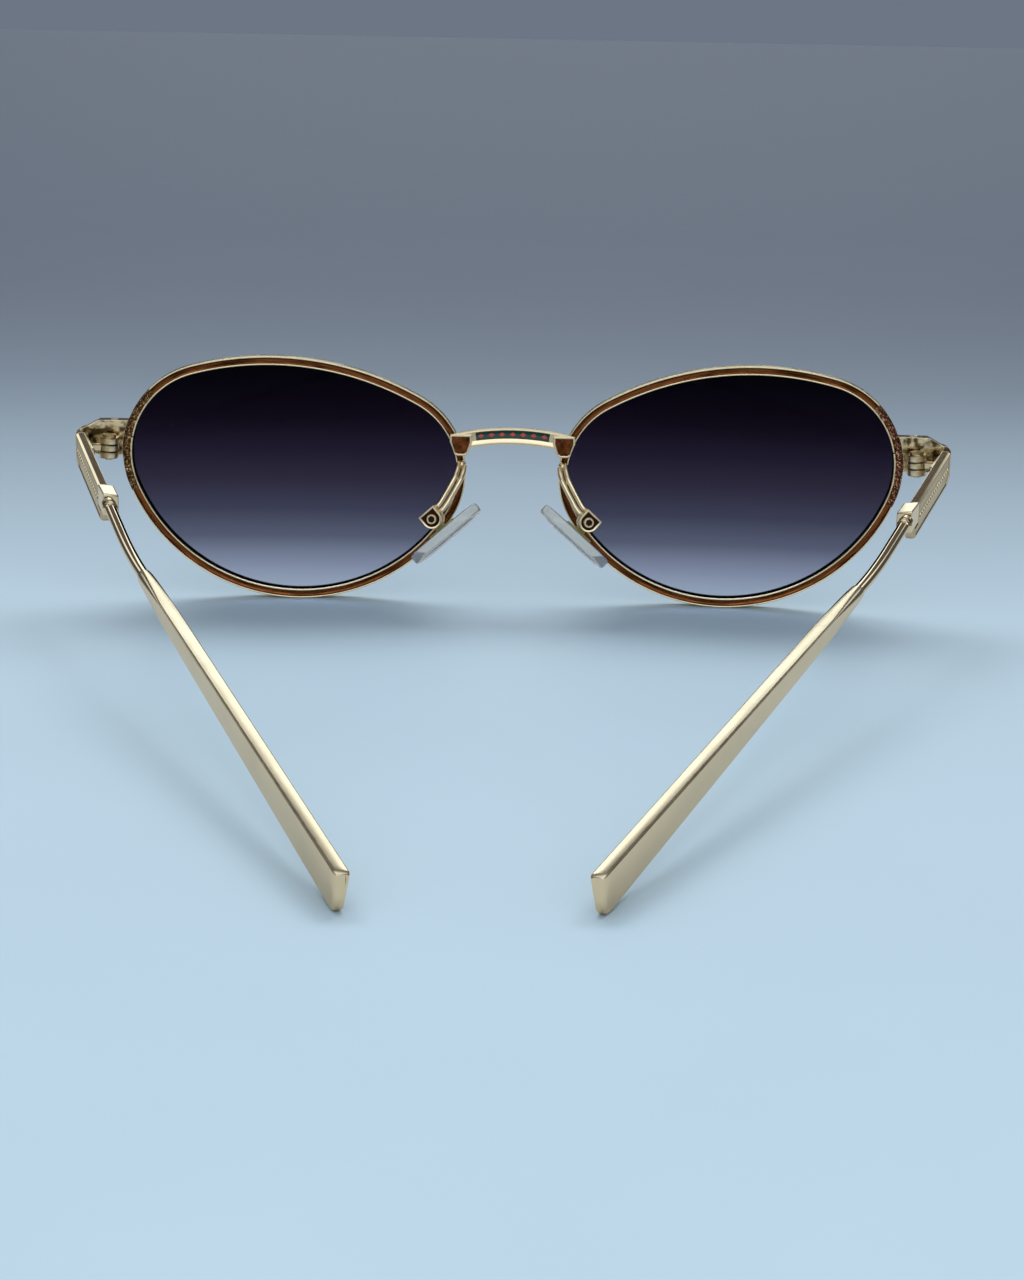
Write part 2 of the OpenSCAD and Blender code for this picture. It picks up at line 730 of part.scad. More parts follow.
// Two bent wires from a foot on the rim's back to the front wall of the box
module pad_arm(side) {
    foot = [nose_side_x - rim_w / 2, 0, eye_z + 0.2];
    foot_y = back_at(foot[0], foot[2]);
    foot_l = 1.3;
    room = box_half + seat_gap;
    room_r = box_r + seat_gap;
    // Half the way between the two wires
    spread = [0.46, 0, 0.2];
    // Where each wire starts on the foot, bends twice and meets the box
    places = [[foot[0], foot_y + foot_l - 0.3, foot[2]],
        [foot[0] + 0.4, foot_y + 3, foot[2] - 1.6],
        [pad_screw_x - 1.7, pad_screw_y - 2.6, pad_screw_z + 2.4],
        [pad_screw_x - 0.3, pad_screw_y - box_half - 0.2, pad_screw_z + 0.6]];
    color(GOLD) front(side) difference() {
        union() {
            for (m = [-1, 1], i = [0 : 2]) {
                wire(places[i] + m * spread, places[i + 1] + m * spread);
                translate(places[i] + m * spread) sphere(arm_r + nest, $fn = 24);
            }
            intersection() {
                translate([foot[0], foot_y + foot_l, foot[2]]) rotate([90, 0, 0]) cylinder(h = 3, r = foot_r);
                at_eye() translate([0, base_r, 0]) sphere(base_r - seat_gap, $fn = curve_fn);
            }
        }
        place_pad() translate([-room_r, -room_r, -room]) cube([2 * room_r, 2 * room_r, 2 * room]);
    }
}

// A straight wire between two points
module wire(a, b) {
    v = b - a;
    l = norm(v);
    translate(a) rotate([0, acos(v[2] / l), atan2(v[1], v[0])]) cylinder(h = l, r = arm_r, $fn = 24);
}

rim(1);  // rim_left
rim(-1);  // rim_right
lens(1);  // lens_left
lens(-1);  // lens_right
bridge();
bridge_inlay();
endpiece(1);  // endpiece_left
endpiece(-1);  // endpiece_right
lock_upper(1);  // lock_upper_left
lock_upper(-1);  // lock_upper_right
lock_lower(1);  // lock_lower_left
lock_lower(-1);  // lock_lower_right
lock_screws();
hinge_front(1);  // hinge_front_left
hinge_front(-1);  // hinge_front_right
hinge_screws();
pad_arm(1);  // pad_arm_left
pad_arm(-1);  // pad_arm_right
pad_box(1);  // pad_box_left
pad_box(-1);  // pad_box_right
pad_screws();
hinge_temple(1);  // hinge_temple_left
hinge_temple(-1);  // hinge_temple_right
temple_plate(1);  // temple_plate_left
temple_plate(-1);  // temple_plate_right
ferrule(1);  // ferrule_left
ferrule(-1);  // ferrule_right
temple_rod(1);  // temple_rod_left
temple_rod(-1);  // temple_rod_right
temple_sleeve(1);  // temple_sleeve_left
temple_sleeve(-1);  // temple_sleeve_right
pad_mount(1);  // pad_mount_left
pad_mount(-1);  // pad_mount_right
nose_pad(1);  // nose_pad_left
nose_pad(-1);  // nose_pad_right
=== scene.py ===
"""Oval metal sunglasses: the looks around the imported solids, laid out as an add-on."""

import json
import math
from types import SimpleNamespace

import bmesh
import bpy
from mathutils import Matrix, Vector, noise

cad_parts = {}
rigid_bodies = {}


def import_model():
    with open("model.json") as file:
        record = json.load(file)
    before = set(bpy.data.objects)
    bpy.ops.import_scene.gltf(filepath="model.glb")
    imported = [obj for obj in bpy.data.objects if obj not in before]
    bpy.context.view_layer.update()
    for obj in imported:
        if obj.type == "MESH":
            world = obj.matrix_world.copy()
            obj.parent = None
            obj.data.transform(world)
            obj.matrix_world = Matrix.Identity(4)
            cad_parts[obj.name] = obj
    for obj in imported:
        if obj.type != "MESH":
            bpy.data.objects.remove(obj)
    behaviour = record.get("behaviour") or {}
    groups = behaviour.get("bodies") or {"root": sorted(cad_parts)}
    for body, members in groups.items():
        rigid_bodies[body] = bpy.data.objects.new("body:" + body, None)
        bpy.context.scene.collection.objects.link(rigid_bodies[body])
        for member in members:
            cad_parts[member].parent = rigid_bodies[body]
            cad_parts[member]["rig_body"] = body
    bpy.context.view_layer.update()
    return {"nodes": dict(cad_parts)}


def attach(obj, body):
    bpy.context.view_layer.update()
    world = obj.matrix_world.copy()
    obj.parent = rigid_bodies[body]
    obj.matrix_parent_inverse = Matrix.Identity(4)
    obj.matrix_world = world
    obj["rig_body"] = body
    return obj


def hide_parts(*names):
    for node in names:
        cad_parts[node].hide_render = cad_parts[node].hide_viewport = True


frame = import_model()

bl_info = {
    "name": "Oval sunglasses",
    "version": (1, 0, 0),
    "blender": (4, 5, 0),
    "location": "3D View > Sidebar > Sunglasses",
    "description": "Builds the rims, lenses, bridge, temples and pads of a pair of oval sunglasses",
    "category": "Object",
}

MM = 0.001
SIDES = {"left": 1, "right": -1}
CLEARANCE = 0.02  # between dressed pieces that are let into each other, in millimetres
BACK_FACING = 0.8  # least y of a face's normal that counts as pointing back


def length(name, description, mm):
    """A length that the panel shows in metres, written here in millimetres."""
    return bpy.props.FloatProperty(name=name, description=description, default=mm * MM, unit="LENGTH",
                                   precision=5)


def angle(name, description, degrees):
    """An angle that the panel shows in the scene's unit, written here in degrees."""
    return bpy.props.FloatProperty(name=name, description=description, default=math.radians(degrees),
                                   subtype="ANGLE")


def colour(name, description, value):
    return bpy.props.FloatVectorProperty(name=name, description=description, default=value, size=3,
                                         min=0, max=1, subtype="COLOR")


def plain(group):
    """A property group as plain numbers: lengths in millimetres, angles in radians."""
    values = {}
    for prop in group.bl_rna.properties:
        if prop.identifier in {"rna_type", "name"}:
            continue
        value = getattr(group, prop.identifier)
        values[prop.identifier] = value / MM if getattr(prop, "unit", "") == "LENGTH" else value
    return SimpleNamespace(**values)


class EyeSettings(bpy.types.PropertyGroup):
    end_gap: length("End gap", "Distance between the centres of the oval's two end arcs", 26.8)
    nose_r: length("Nose radius", "Radius of the oval's end next to the nose", 12.4)
    temple_r: length("Temple radius", "Radius of the oval's end next to the temple", 13.2)
    top_r: length("Top radius", "Radius of the arc along the top", 49)
    bottom_r: length("Bottom radius", "Radius of the arc along the bottom", 27.8)
    eye_tilt: angle("Tilt", "How far the oval's outer end is raised", 5.7)
    eye_spacing: length("Eye spacing", "Distance between the middles of the two eyes", 69.4)
    base_r: length("Lens curve", "Radius of the lens curve", 240)
    wrap: angle("Wrap", "Turn of each eye towards the temple", 2.9)
    rim_w: length("Rim width", "Width of the rim wire seen from behind", 1.45)
    rim_d: length("Rim depth", "Depth of the rim from front to back", 2.4)
    lip_w: length("Lip", "Width of the raised lips beside the rim's channel", 0.26)
    channel_d: length("Channel", "Depth of the channel along the rim's back", 0.22)
    lens_t: length("Lens thickness", "Thickness of the lens", 1.6)
    lens_bite: length("Lens bite", "How far the lens reaches into the rim", 0.45)
    rim_slit: length("Rim slit", "Width of the cut that lets the rim open", 0.2)


class BridgeSettings(bpy.types.PropertyGroup):
    bridge_h: length("Height", "Height of the bridge bar", 2.7)
    bridge_d: length("Depth", "Depth of the bridge bar", 2)
    bridge_up: length("Rise", "Height of the bridge's top above the middle of the eyes", 6.25)
    bridge_r: length("Arch", "Radius of the bridge's arch", 39)
    bridge_back: length("Back", "Distance of the bar's back behind the pole of the lens", 0.6)
    inlay_l: length("Inlay length", "Length of the enamel strip", 12.2)
    inlay_h: length("Inlay height", "Height of the enamel strip", 1.35)
    inlay_d: length("Inlay depth", "Depth of the enamel strip", 0.4)
    foot_w: length("Foot width", "Width of the foot that joins the bridge to a rim", 3.6)
    foot_h: length("Foot height", "Height of that foot", 3.5)
    lozenges: bpy.props.IntProperty(name="Lozenges", description="How many lozenges the strip has",
                                    default=7, min=0, max=15)


class TempleSettings(bpy.types.PropertyGroup):
    total_w: length("Total width", "Width over the two endpieces", 140)
    endpiece_h: length("Endpiece height", "Height of an endpiece", 5.6)
    hinge_in: length("Hinge inset", "Distance of the hinge pin inside the outer end", 5.6)
    hinge_back: length("Hinge distance", "Distance of the hinge pin behind the endpiece", 1.85)
    temple_l: length("Length", "Length of a temple from the hinge pin to the tip", 143)
    plate_l: length("Plate length", "Length of the flat front plate", 21.5)
    plate_h: length("Plate height", "Height of the front plate", 5.1)
    plate_t: length("Plate thickness", "Thickness of the front plate", 1.45)
    plate_drop: angle("Plate slope", "Downward slope of the front plate", 12.4)
    bead_r: length("Bead radius", "Radius of one bead on the plate", 0.3)
    bead_pitch: length("Bead pitch", "Spacing of the beads", 1.1)
    ferrule_l: length("Ferrule length", "Length of the ferrule block", 4.5)
    ferrule_w: length("Ferrule width", "Width of the ferrule block", 2.35)
    ferrule_h: length("Ferrule height", "Height of the ferrule block", 3)
    rod_r: length("Rod radius", "Radius of the temple rod", 0.85)
    bend_at: length("Bend place", "Distance from the hinge pin to the rod's bend", 42)
    bend_half: length("Bend half length", "Half length of the bend", 7)
    bend_in: angle("Bend inwards", "Inward turn of the rod at the bend", 2.3)
    sleeve_at: length("Sleeve start", "Distance from the hinge pin to the tip sleeve", 51)
    sleeve_h: length("Sleeve height", "Height of the sleeve at its start", 2.3)
    sleeve_w: length("Sleeve width", "Width of the sleeve at its start", 2.3)
    tip_h: length("Tip height", "Height of the sleeve at the tip", 4.7)
    tip_w: length("Tip width", "Width of the sleeve at the tip", 1.9)
    left_fold: angle("Left fold", "Fold of the left temple inwards", 20.5)
    right_fold: angle("Right fold", "Fold of the right temple inwards", 21.5)


class PadSettings(bpy.types.PropertyGroup):
    pad_screw_x: length("Screw sideways", "Sideways distance of a pad screw from the middle", 12.3)
    pad_screw_y: length("Screw back", "Distance of a pad screw behind the pole of the lens", 6.8)
    pad_screw_z: length("Screw height", "Height of a pad screw", 15)
    pad_lean: angle("Lean", "Lean of a pad away from the middle", 48)
    pad_splay: angle("Splay", "Turn of a pad towards the face", 11)
    pad_l: length("Pad length", "Length of a pad", 13.6)
    pad_w: length("Pad width", "Width of a pad", 7.6)
    pad_t: length("Pad thickness", "Thickness of a pad", 2)
    pad_off: length("Pad offset", "Distance from the pad screw to the middle of the pad", 3.3)
    arm_r: length("Wire radius", "Radius of a wire of the pad arm", 0.42)
    pad_pin_r: length("Pad screw radius", "Radius of the screw that a pad swivels on", 0.45)


class FinishSettings(bpy.types.PropertyGroup):
    gold: colour("Gold", "Polished pale gold of the front", (0.90, 0.74, 0.48))
    temple_gold: colour("Temple gold", "Satin pale gold of the temples", (0.90, 0.76, 0.52))
    rim_gold: colour("Rim gold", "Pale gold of the lips along the rims", (1.0, 0.83, 0.54))
    channel: colour("Channel", "Brown gold of the channel along the rims", (0.17, 0.052, 0.016))
    screw: colour("Screws", "Darker gold of the screws", (0.55, 0.42, 0.23))
    lens_top: colour("Lens top", "Tint of the lens along its top", (0.002, 0.001, 0.010))
    lens_low: colour("Lens bottom", "Tint of the lens along its bottom", (0.67, 0.76, 0.96))
    enamel: colour("Enamel", "Dark green of the strip on the bridge", (0.006, 0.055, 0.035))
    lozenge: colour("Lozenges", "Coral red of the strip's lozenges", (0.72, 0.06, 0.05))
    silicone: colour("Silicone", "Clear silicone of the nose pads", (0.84, 0.87, 0.88))
    pad_core: colour("Pad core", "Yellowish core of the nose pads", (0.62, 0.55, 0.20))


class StageSettings(bpy.types.PropertyGroup):
    floor_near: colour("Floor near", "Pale blue of the floor near the camera", (0.51, 0.66, 0.772))
    floor_far: colour("Floor far", "Slate of the floor far away", (0.108, 0.132, 0.182))
    horizon: colour("Horizon", "Slate that shows behind the floor", (0.153, 0.181, 0.235))
    light: bpy.props.FloatProperty(name="Light", description="Level of the studio light", default=1.0,
                                   min=0)
    lens_mm: bpy.props.FloatProperty(name="Focal length", description="Focal length of the camera",
                                     default=64.6875, unit="CAMERA")


GROUPS = {
    "glasses_eye": EyeSettings,
    "glasses_bridge": BridgeSettings,
    "glasses_temple": TempleSettings,
    "glasses_pad": PadSettings,
    "glasses_finish": FinishSettings,
    "glasses_stage": StageSettings,
}


# Layout: the places that several pieces share, as in the part's source


def layout():
    """Every size in one namespace, with the places worked out from them."""
    p = SimpleNamespace()
    scene = bpy.context.scene
    for name in ("glasses_eye", "glasses_bridge", "glasses_temple", "glasses_pad"):
        p.__dict__.update(plain(getattr(scene, name)).__dict__)
    gap = p.end_gap

    def arc_x(r):
        return ((r - p.nose_r) ** 2 - (r - p.temple_r) ** 2) / (2 * gap)

    def arc_rise(r):
        return math.sqrt((r - p.nose_r) ** 2 - (arc_x(r) + gap / 2) ** 2)

    p.nose_c = Vector((-gap / 2, 0))
    p.temple_c = Vector((gap / 2, 0))
    p.top_c = Vector((arc_x(p.top_r), -arc_rise(p.top_r)))
    p.bottom_c = Vector((arc_x(p.bottom_r), arc_rise(p.bottom_r)))
    bottom_c_z = p.bottom_c.x * math.sin(p.eye_tilt) + p.bottom_c.y * math.cos(p.eye_tilt)
    p.eye_x = p.eye_spacing / 2
    p.eye_z = p.bottom_r + p.rim_w - bottom_c_z
    p.nose_side_x = p.eye_x - gap / 2 - p.nose_r
    p.rim_end_x = p.eye_x + gap / 2 + p.temple_r + p.rim_w
    endpiece_rise, endpiece_behind, lock_rise, hinge_drop = 0.4, 0.25, 0.1, 4.05
    inlay_border, plate_rise, ferrule_lap, tip_round = 0.3, 2.15, 2, 0.3
    p.endpiece_top = p.eye_z + p.bridge_up + endpiece_rise
    p.endpiece_back = back_at(p, p.rim_end_x, p.eye_z) + endpiece_behind
    p.lock_z = p.endpiece_top - p.endpiece_h / 2 + lock_rise
    p.hinge_x = p.total_w / 2 - p.hinge_in
    p.hinge_y = p.endpiece_back + p.hinge_back
    p.hinge_mid = p.endpiece_top - hinge_drop
    p.arch_z = p.eye_z + p.bridge_up - p.bridge_r
    p.inlay_top = p.bridge_r - inlay_border
    p.inlay_low = p.inlay_top - p.inlay_h
    p.inlay_half = math.asin(p.inlay_l / 2 / p.bridge_r)
    p.pad_box_half = 1.6
    p.plate_out = 5.05
    p.plate_mid = p.plate_out - p.plate_t / 2
    p.plate_front = -1.5
    p.top_at_pin = p.hinge_mid + plate_rise
    p.drop_a = math.tan(p.plate_drop)
    p.bend_z = p.top_at_pin - p.drop_a * p.bend_at
    p.drop_b = (p.bend_z - p.tip_h) / (p.temple_l - p.bend_at)
    p.in_b = math.tan(p.bend_in)
    p.rod_drop = p.rod_r + 0.1
    p.ferrule_at = p.plate_l - ferrule_lap
    p.ferrule_end = p.ferrule_at + p.ferrule_l
    p.sleeve_start = p.sleeve_at + CLEARANCE
    p.sleeve_full = p.sleeve_at + 5
    p.tip_heel = 1.6
    p.fold = {1: p.left_fold, -1: p.right_fold}
    front_reach = (p.rim_d + p.lens_t) / 2 + p.base_r * (1 - math.cos(p.wrap))
    tip_x = temple_mid(p, p.temple_l) + p.tip_w / 2 - tip_round
    reach = max(p.hinge_y + tip_x * math.sin(f) + p.temple_l * math.cos(f) for f in p.fold.values())
    p.front_y = -(reach - front_reach) / 2
    return p


def sag(p, x, z, depth=0.0):
    """How far behind its pole the lens curve lies, at a depth in front of the back face."""
    return p.base_r - math.sqrt((p.base_r + depth) ** 2 - x * x - z * z)


def back_at(p, x, z):
    """How far the rim's back face lies behind the pole of the lens, in the front's own frame."""
    return sag(p, x - p.eye_x, z - p.eye_z) + (x - p.eye_x) * math.tan(p.wrap)


def temple_top(p, s):
    """Height of the temple's upper line at a distance behind the hinge pin."""
    return p.top_at_pin - p.drop_a * s if s < p.bend_at else p.bend_z - p.drop_b * (s - p.bend_at)


def temple_mid(p, s):
    """Distance outwards of the temple's middle at a distance behind the hinge pin."""
    return p.plate_mid if s < p.bend_at else p.plate_mid - p.in_b * (s - p.bend_at)


def on_front(p, side, point):
    """A point of the front, given for the left side, in the model's frame."""
    x, y, z = point
    return Vector((side * x, y + p.front_y, z))


def on_eye(p, side, x, z, depth):
    """A point of the eye's own plane, at a depth in front of the rim's back face."""
    y = sag(p, x, z, depth)
    c, s = math.cos(p.wrap), math.sin(p.wrap)
    return on_front(p, side, (p.eye_x + x * c - y * s, x * s + y * c, p.eye_z + z))


def on_temple(p, side, point):
    """A point of a temple, x outwards and y towards the tip, in its folded place."""
    x, y, z = point
    c, s = math.cos(p.fold[side]), math.sin(p.fold[side])
    return on_front(p, side, (p.hinge_x + x * c - y * s, p.hinge_y + x * s + y * c, z))


def pad_matrix(p):
    """The left pad's place in the front: z is the pad screw's axis, x runs to the pad."""
    return (Matrix.Translation((p.pad_screw_x, p.pad_screw_y, p.pad_screw_z))
            @ Matrix.Rotation(math.pi - p.pad_lean, 4, "Y")
            @ Matrix.Rotation(-math.pi / 2, 4, "X")
            @ Matrix.Rotation(-p.pad_splay, 4, "Y"))


def on_pad(p, side, point):
    """A point of a pad's own frame, in its place on the front."""
    return on_front(p, side, pad_matrix(p) @ Vector(point))


def oval(p, count):
    """Points of the eye's outline as (arc centre, direction, radius), evenly spaced, from the
    rim's slit round over the top. Growing an arc's radius gives the exact parallel curve."""
    arcs = [(p.temple_c, p.temple_r, p.bottom_c, p.top_c), (p.top_c, p.top_r, p.temple_c, p.nose_c),
            (p.nose_c, p.nose_r, p.top_c, p.bottom_c), (p.bottom_c, p.bottom_r, p.nose_c, p.temple_c)]
    spans = []
    for centre, radius, start, end in arcs:
        if radius in (p.top_r, p.bottom_r):
            a, b = start - centre, end - centre
        else:
            a, b = centre - start, centre - end
        a0 = math.atan2(a.y, a.x)
        a1 = math.atan2(b.y, b.x)
        while a1 < a0:
            a1 += 2 * math.pi
        spans.append((centre, radius, a0, a1 - a0))
    slit_rise = p.lock_z - p.eye_z - p.temple_c.x * math.sin(p.eye_tilt)
    slit = math.asin(slit_rise / p.temple_r) - p.eye_tilt
    way_round = sum(r * w for _, r, _, w in spans)
    start = (slit - spans[0][2]) * p.temple_r
    out = []
    for i in range(count):
        at = (start + way_round * i / count) % way_round
        for centre, radius, a0, width in spans:
            if at <= radius * width:
                break
            at -= radius * width
        a = a0 + at / radius + p.eye_tilt
        c, s = math.cos(p.eye_tilt), math.sin(p.eye_tilt)
        turned = Vector((centre.x * c - centre.y * s, centre.x * s + centre.y * c))
        out.append((turned, Vector((math.cos(a), math.sin(a))), radius))
    return out


def grown(sample, g):
    """The outline's point, moved outwards by g."""
    centre, direction, radius = sample
    return centre + direction * (radius + g)


# Mesh making


def new_object(name, mesh):
    """An object for a mesh, linked to the scene."""
    obj = bpy.data.objects.new(name, mesh)
    bpy.context.scene.collection.objects.link(obj)
    return obj


def mesh_object(name, points, faces, materials, kinds=None, sharp=40):
    """An object from points in millimetres, smooth except at edges sharper than an angle."""
    mesh = bpy.data.meshes.new(name)
    mesh.from_pydata([Vector(q) * MM for q in points], [], faces)
    for material in materials:
        mesh.materials.append(material)
    if kinds:
        mesh.polygons.foreach_set("material_index", kinds)
    finish_mesh(mesh, sharp)
    return new_object(name, mesh)


def finish_mesh(mesh, sharp=40):
    """Turns the faces outwards and shades them smooth, except at edges sharper than an angle."""
    bm = bmesh.new()
    bm.from_mesh(mesh)
    bmesh.ops.recalc_face_normals(bm, faces=bm.faces[:])
    limit = math.radians(sharp)
    for face in bm.faces:
        face.smooth = True
    for edge in bm.edges:
        edge.smooth = len(edge.link_faces) == 2 and edge.calc_face_angle(0) < limit
    bm.to_mesh(mesh)
    bm.free()


def keep_flat(obj):
    """Leaves the curve of the shading to the rounded edges, so that broad faces stay level."""
    mod = obj.modifiers.new("level", "WEIGHTED_NORMAL")
    mod.mode = "FACE_AREA"
    mod.weight = 80
    mod.keep_sharp = True
    return obj


def skin(rings):
    """Faces between rings of equal length, with flat ends."""
    n = len(rings[0])
    points = [q for ring in rings for q in ring]
    faces = []
    for a in range(0, len(points) - n, n):
        for j in range(n):
            k = (j + 1) % n
            faces.append((a + j, a + k, a + n + k, a + n + j))
    faces.append(tuple(range(n))[::-1])
    faces.append(tuple(range(len(points) - n, len(points))))
    return points, faces


def round_corners(outline, radii, steps=5):
    """A polygon with its corners rounded, each with its own radius."""
    out = []
    n = len(outline)
    for i, (corner, r) in enumerate(zip(outline, radii)):
        q, a, b = Vector(corner), Vector(outline[i - 1]), Vector(outline[(i + 1) % n])
        u, v = (a - q).normalized(), (b - q).normalized()
        half = math.acos(max(-1, min(1, u.dot(v)))) / 2
        if r <= 0 or half > math.pi / 2 - 1e-3:
            out.append(q)
            continue
        longest = 0.49 * min((a - q).length, (b - q).length)
        reach = min(r / math.tan(half), longest)
        centre = q + (u + v).normalized() * (reach / math.cos(half))
        start, end = q + u * reach - centre, q + v * reach - centre
        turn = math.atan2(start.x * end.y - start.y * end.x, start.dot(end))
        for k in range(steps + 1):
            w = turn * k / steps
            c, s = math.cos(w), math.sin(w)
            out.append(centre + Vector((start.x * c - start.y * s, start.x * s + start.y * c)))
    return out


def inset(outline, d):
    """The outline moved inwards by d along its corner normals."""
    outline = [Vector(q) for q in outline]
    area = sum(a.x * b.y - b.x * a.y for a, b in zip(outline, outline[1:] + outline[:1]))
    sign = 1 if area > 0 else -1
    sharpest = 0.3
    out = []
    n = len(outline)
    for i, q in enumerate(outline):
        u = (q - outline[i - 1]).normalized()
        v = (outline[(i + 1) % n] - q).normalized()
        nu, nv = Vector((-u.y, u.x)) * sign, Vector((-v.y, v.x)) * sign
        bisector = nu + nv
        if bisector.length < 1e-6:
            bisector = nu
        bisector.normalize()
        out.append(q + bisector * (d / max(sharpest, bisector.dot(nu))))
    return out


def soft_outline(corners, radii, d, steps=5):
    """A polygon moved inwards by d and then given round corners, as many points for any d. The
    radii are one number, or one for each corner."""
    least = 0.02
    if not isinstance(radii, list):
        radii = [radii] * len(corners)
    return round_corners(inset(corners, d), [max(least, r - d) if r > 0 else 0 for r in radii], steps)


def slab(corners, radii, stations, place, steps=5):
    """A closed body from a polygon: each station is (height, inset), place carries (x, y, h)."""
    rings = []
    for height, d in stations:
        rings.append([place(q.x, q.y, height) for q in soft_outline(corners, radii, d, steps)])
    return skin(rings)


def edge_stations(h0, h1, r, steps=4):
    """Stations of a plate with both edges rounded by r."""
    turn = [math.pi / 2 * k / steps for k in range(steps + 1)]
    low = [(h0 + r * (1 - math.sin(a)), r * (1 - math.cos(a))) for a in reversed(turn)]
    high = [(h1 - r * (1 - math.sin(a)), r * (1 - math.cos(a))) for a in turn]
    return low + high


def tube(path, radii, sides, up=Vector((0, 0, 1))):
    """A round body along a path, with a radius for each place."""
    rings = []
    for i, (q, r) in enumerate(zip(path, radii)):
        ahead = (path[min(i + 1, len(path) - 1)] - path[max(i - 1, 0)]).normalized()
        across = ahead.cross(up).normalized()
        over = across.cross(ahead)
        rings.append([q + (across * math.cos(t) + over * math.sin(t)) * r
                      for t in (2 * math.pi * k / sides for k in range(sides))])
    return skin(rings)


def joined(parts):
    """Several bodies' points and faces as one."""
    points, faces = [], []
    for q, f in parts:
        base = len(points)
        points += list(q)
        faces += [tuple(base + i for i in face) for face in f]
    return points, faces


def curve_through(points, steps):
    """A smooth path through points, with the ends as they are."""
    path = []
    for i in range(len(points) - 1):
        a, b = points[max(i - 1, 0)], points[i]
        c, d = points[i + 1], points[min(i + 2, len(points) - 1)]
        for k in range(steps):
            t = k / steps
            path.append(0.5 * ((2 * b) + (c - a) * t + (2 * a - 5 * b + 4 * c - d) * t ** 2
                               + (3 * b - a - 3 * c + d) * t ** 3))
    path.append(points[-1])
    return path


def trim(obj, tool, operation="DIFFERENCE"):
    """Cuts or joins one mesh object with another and removes the tool."""
    mod = obj.modifiers.new("trim", "BOOLEAN")
    mod.operation = operation
    mod.solver = "EXACT"
    mod.object = tool
    depsgraph = bpy.context.evaluated_depsgraph_get()
    mesh = bpy.data.meshes.new_from_object(obj.evaluated_get(depsgraph))
    obj.modifiers.clear()
    old = obj.data
    obj.data = mesh
    mesh.name = obj.name
    bpy.data.meshes.remove(old)
    data = tool.data
    bpy.data.objects.remove(tool)
    bpy.data.meshes.remove(data)


def softened(node, material, width=0.12, top=None, edge=None):
    """A piece from a solid's own mesh, welded and with its edges rounded, in place of the solid.
    The faces that don't point back and the rounded edges can have finishes of their own."""
    source = frame["nodes"][node]
    sharp, level = math.radians(32), math.radians(1.5)
    bm = bmesh.new()
    bm.from_mesh(source.data)
    bmesh.ops.remove_doubles(bm, verts=bm.verts[:], dist=1e-6)
    bmesh.ops.dissolve_limit(bm, angle_limit=level, verts=bm.verts[:], edges=bm.edges[:])
    crisp = [e for e in bm.edges if len(e.link_faces) == 2 and e.calc_face_angle(0) > sharp]
    bmesh.ops.bevel(bm, geom=crisp, offset=width * MM, offset_type="OFFSET", segments=3, profile=0.5,
                    affect="EDGES", clamp_overlap=True, miter_outer="ARC", material=2 if edge else -1)
    mesh = bpy.data.meshes.new(node + "_piece")
    bm.to_mesh(mesh)
    bm.free()
    for own in (material, top or material, edge or material):
        mesh.materials.append(own)
    finish_mesh(mesh, 50)
    if top:
        for polygon in mesh.polygons:
            polygon.material_index = 1 if polygon.normal.y < BACK_FACING else 0
    obj = keep_flat(new_object(node + "_piece", mesh))
    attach(obj, source["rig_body"])
    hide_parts(node)
    return obj


# Finishes


class Nodes:
    """Steps that build a node tree; most give back the socket with their result."""

    def __init__(self, tree):
        self.nodes = tree.nodes
        self.links = tree.links

    def add(self, kind, **values):
        """A node with its properties set, or else its inputs, with their spaces written as _."""
        node = self.nodes.new(kind)
        for key, value in values.items():
            if hasattr(node, key):
                setattr(node, key, value)
            else:
                node.inputs[key.replace("_", " ")].default_value = value
        return node

    def feed(self, socket, value):
        """Links a socket to another one, or writes a number or colour on it."""
        if isinstance(value, bpy.types.NodeSocket):
            self.links.new(value, socket)
        elif isinstance(value, tuple):
            socket.default_value = (*value, 1)
        else:
            socket.default_value = value

    def axis(self, vector, letter):
        node = self.add("ShaderNodeSeparateXYZ")
        self.feed(node.inputs["Vector"], vector)
        return node.outputs[letter]

    def math(self, operation, *values):
        node = self.add("ShaderNodeMath", operation=operation)
        for socket, value in zip(node.inputs, values):
            self.feed(socket, value)
        return node.outputs["Value"]

    def spread(self, value, low, high, start=0.3, end=0.7):
        """A value carried from the range between start and end to the one between low and high."""
        node = self.add("ShaderNodeMapRange", From_Min=start, From_Max=end, To_Min=low, To_Max=high)
        self.feed(node.inputs["Value"], value)
        return node.outputs["Result"]

    def mix(self, value, a, b):
        """A colour between a and b; the colour sockets of a mix node are known by number only."""
        node = self.add("ShaderNodeMix", data_type="RGBA")
        for key, source in (("Factor", value), (6, a), (7, b)):
            self.feed(node.inputs[key], source)
        return node.outputs[2]

    def ramp(self, value, stops):
        """A colour for each value, from stops of (value, colour or grey)."""
        node = self.add("ShaderNodeValToRGB")
        self.feed(node.inputs["Fac"], value)
        elements = node.color_ramp.elements
        while len(elements) < len(stops):
            elements.new(0.5)
        for element, (at, c) in zip(elements, stops):
            element.position = at
            element.color = (*c, 1) if isinstance(c, tuple) else (c, c, c, 1)
        return node.outputs["Color"]


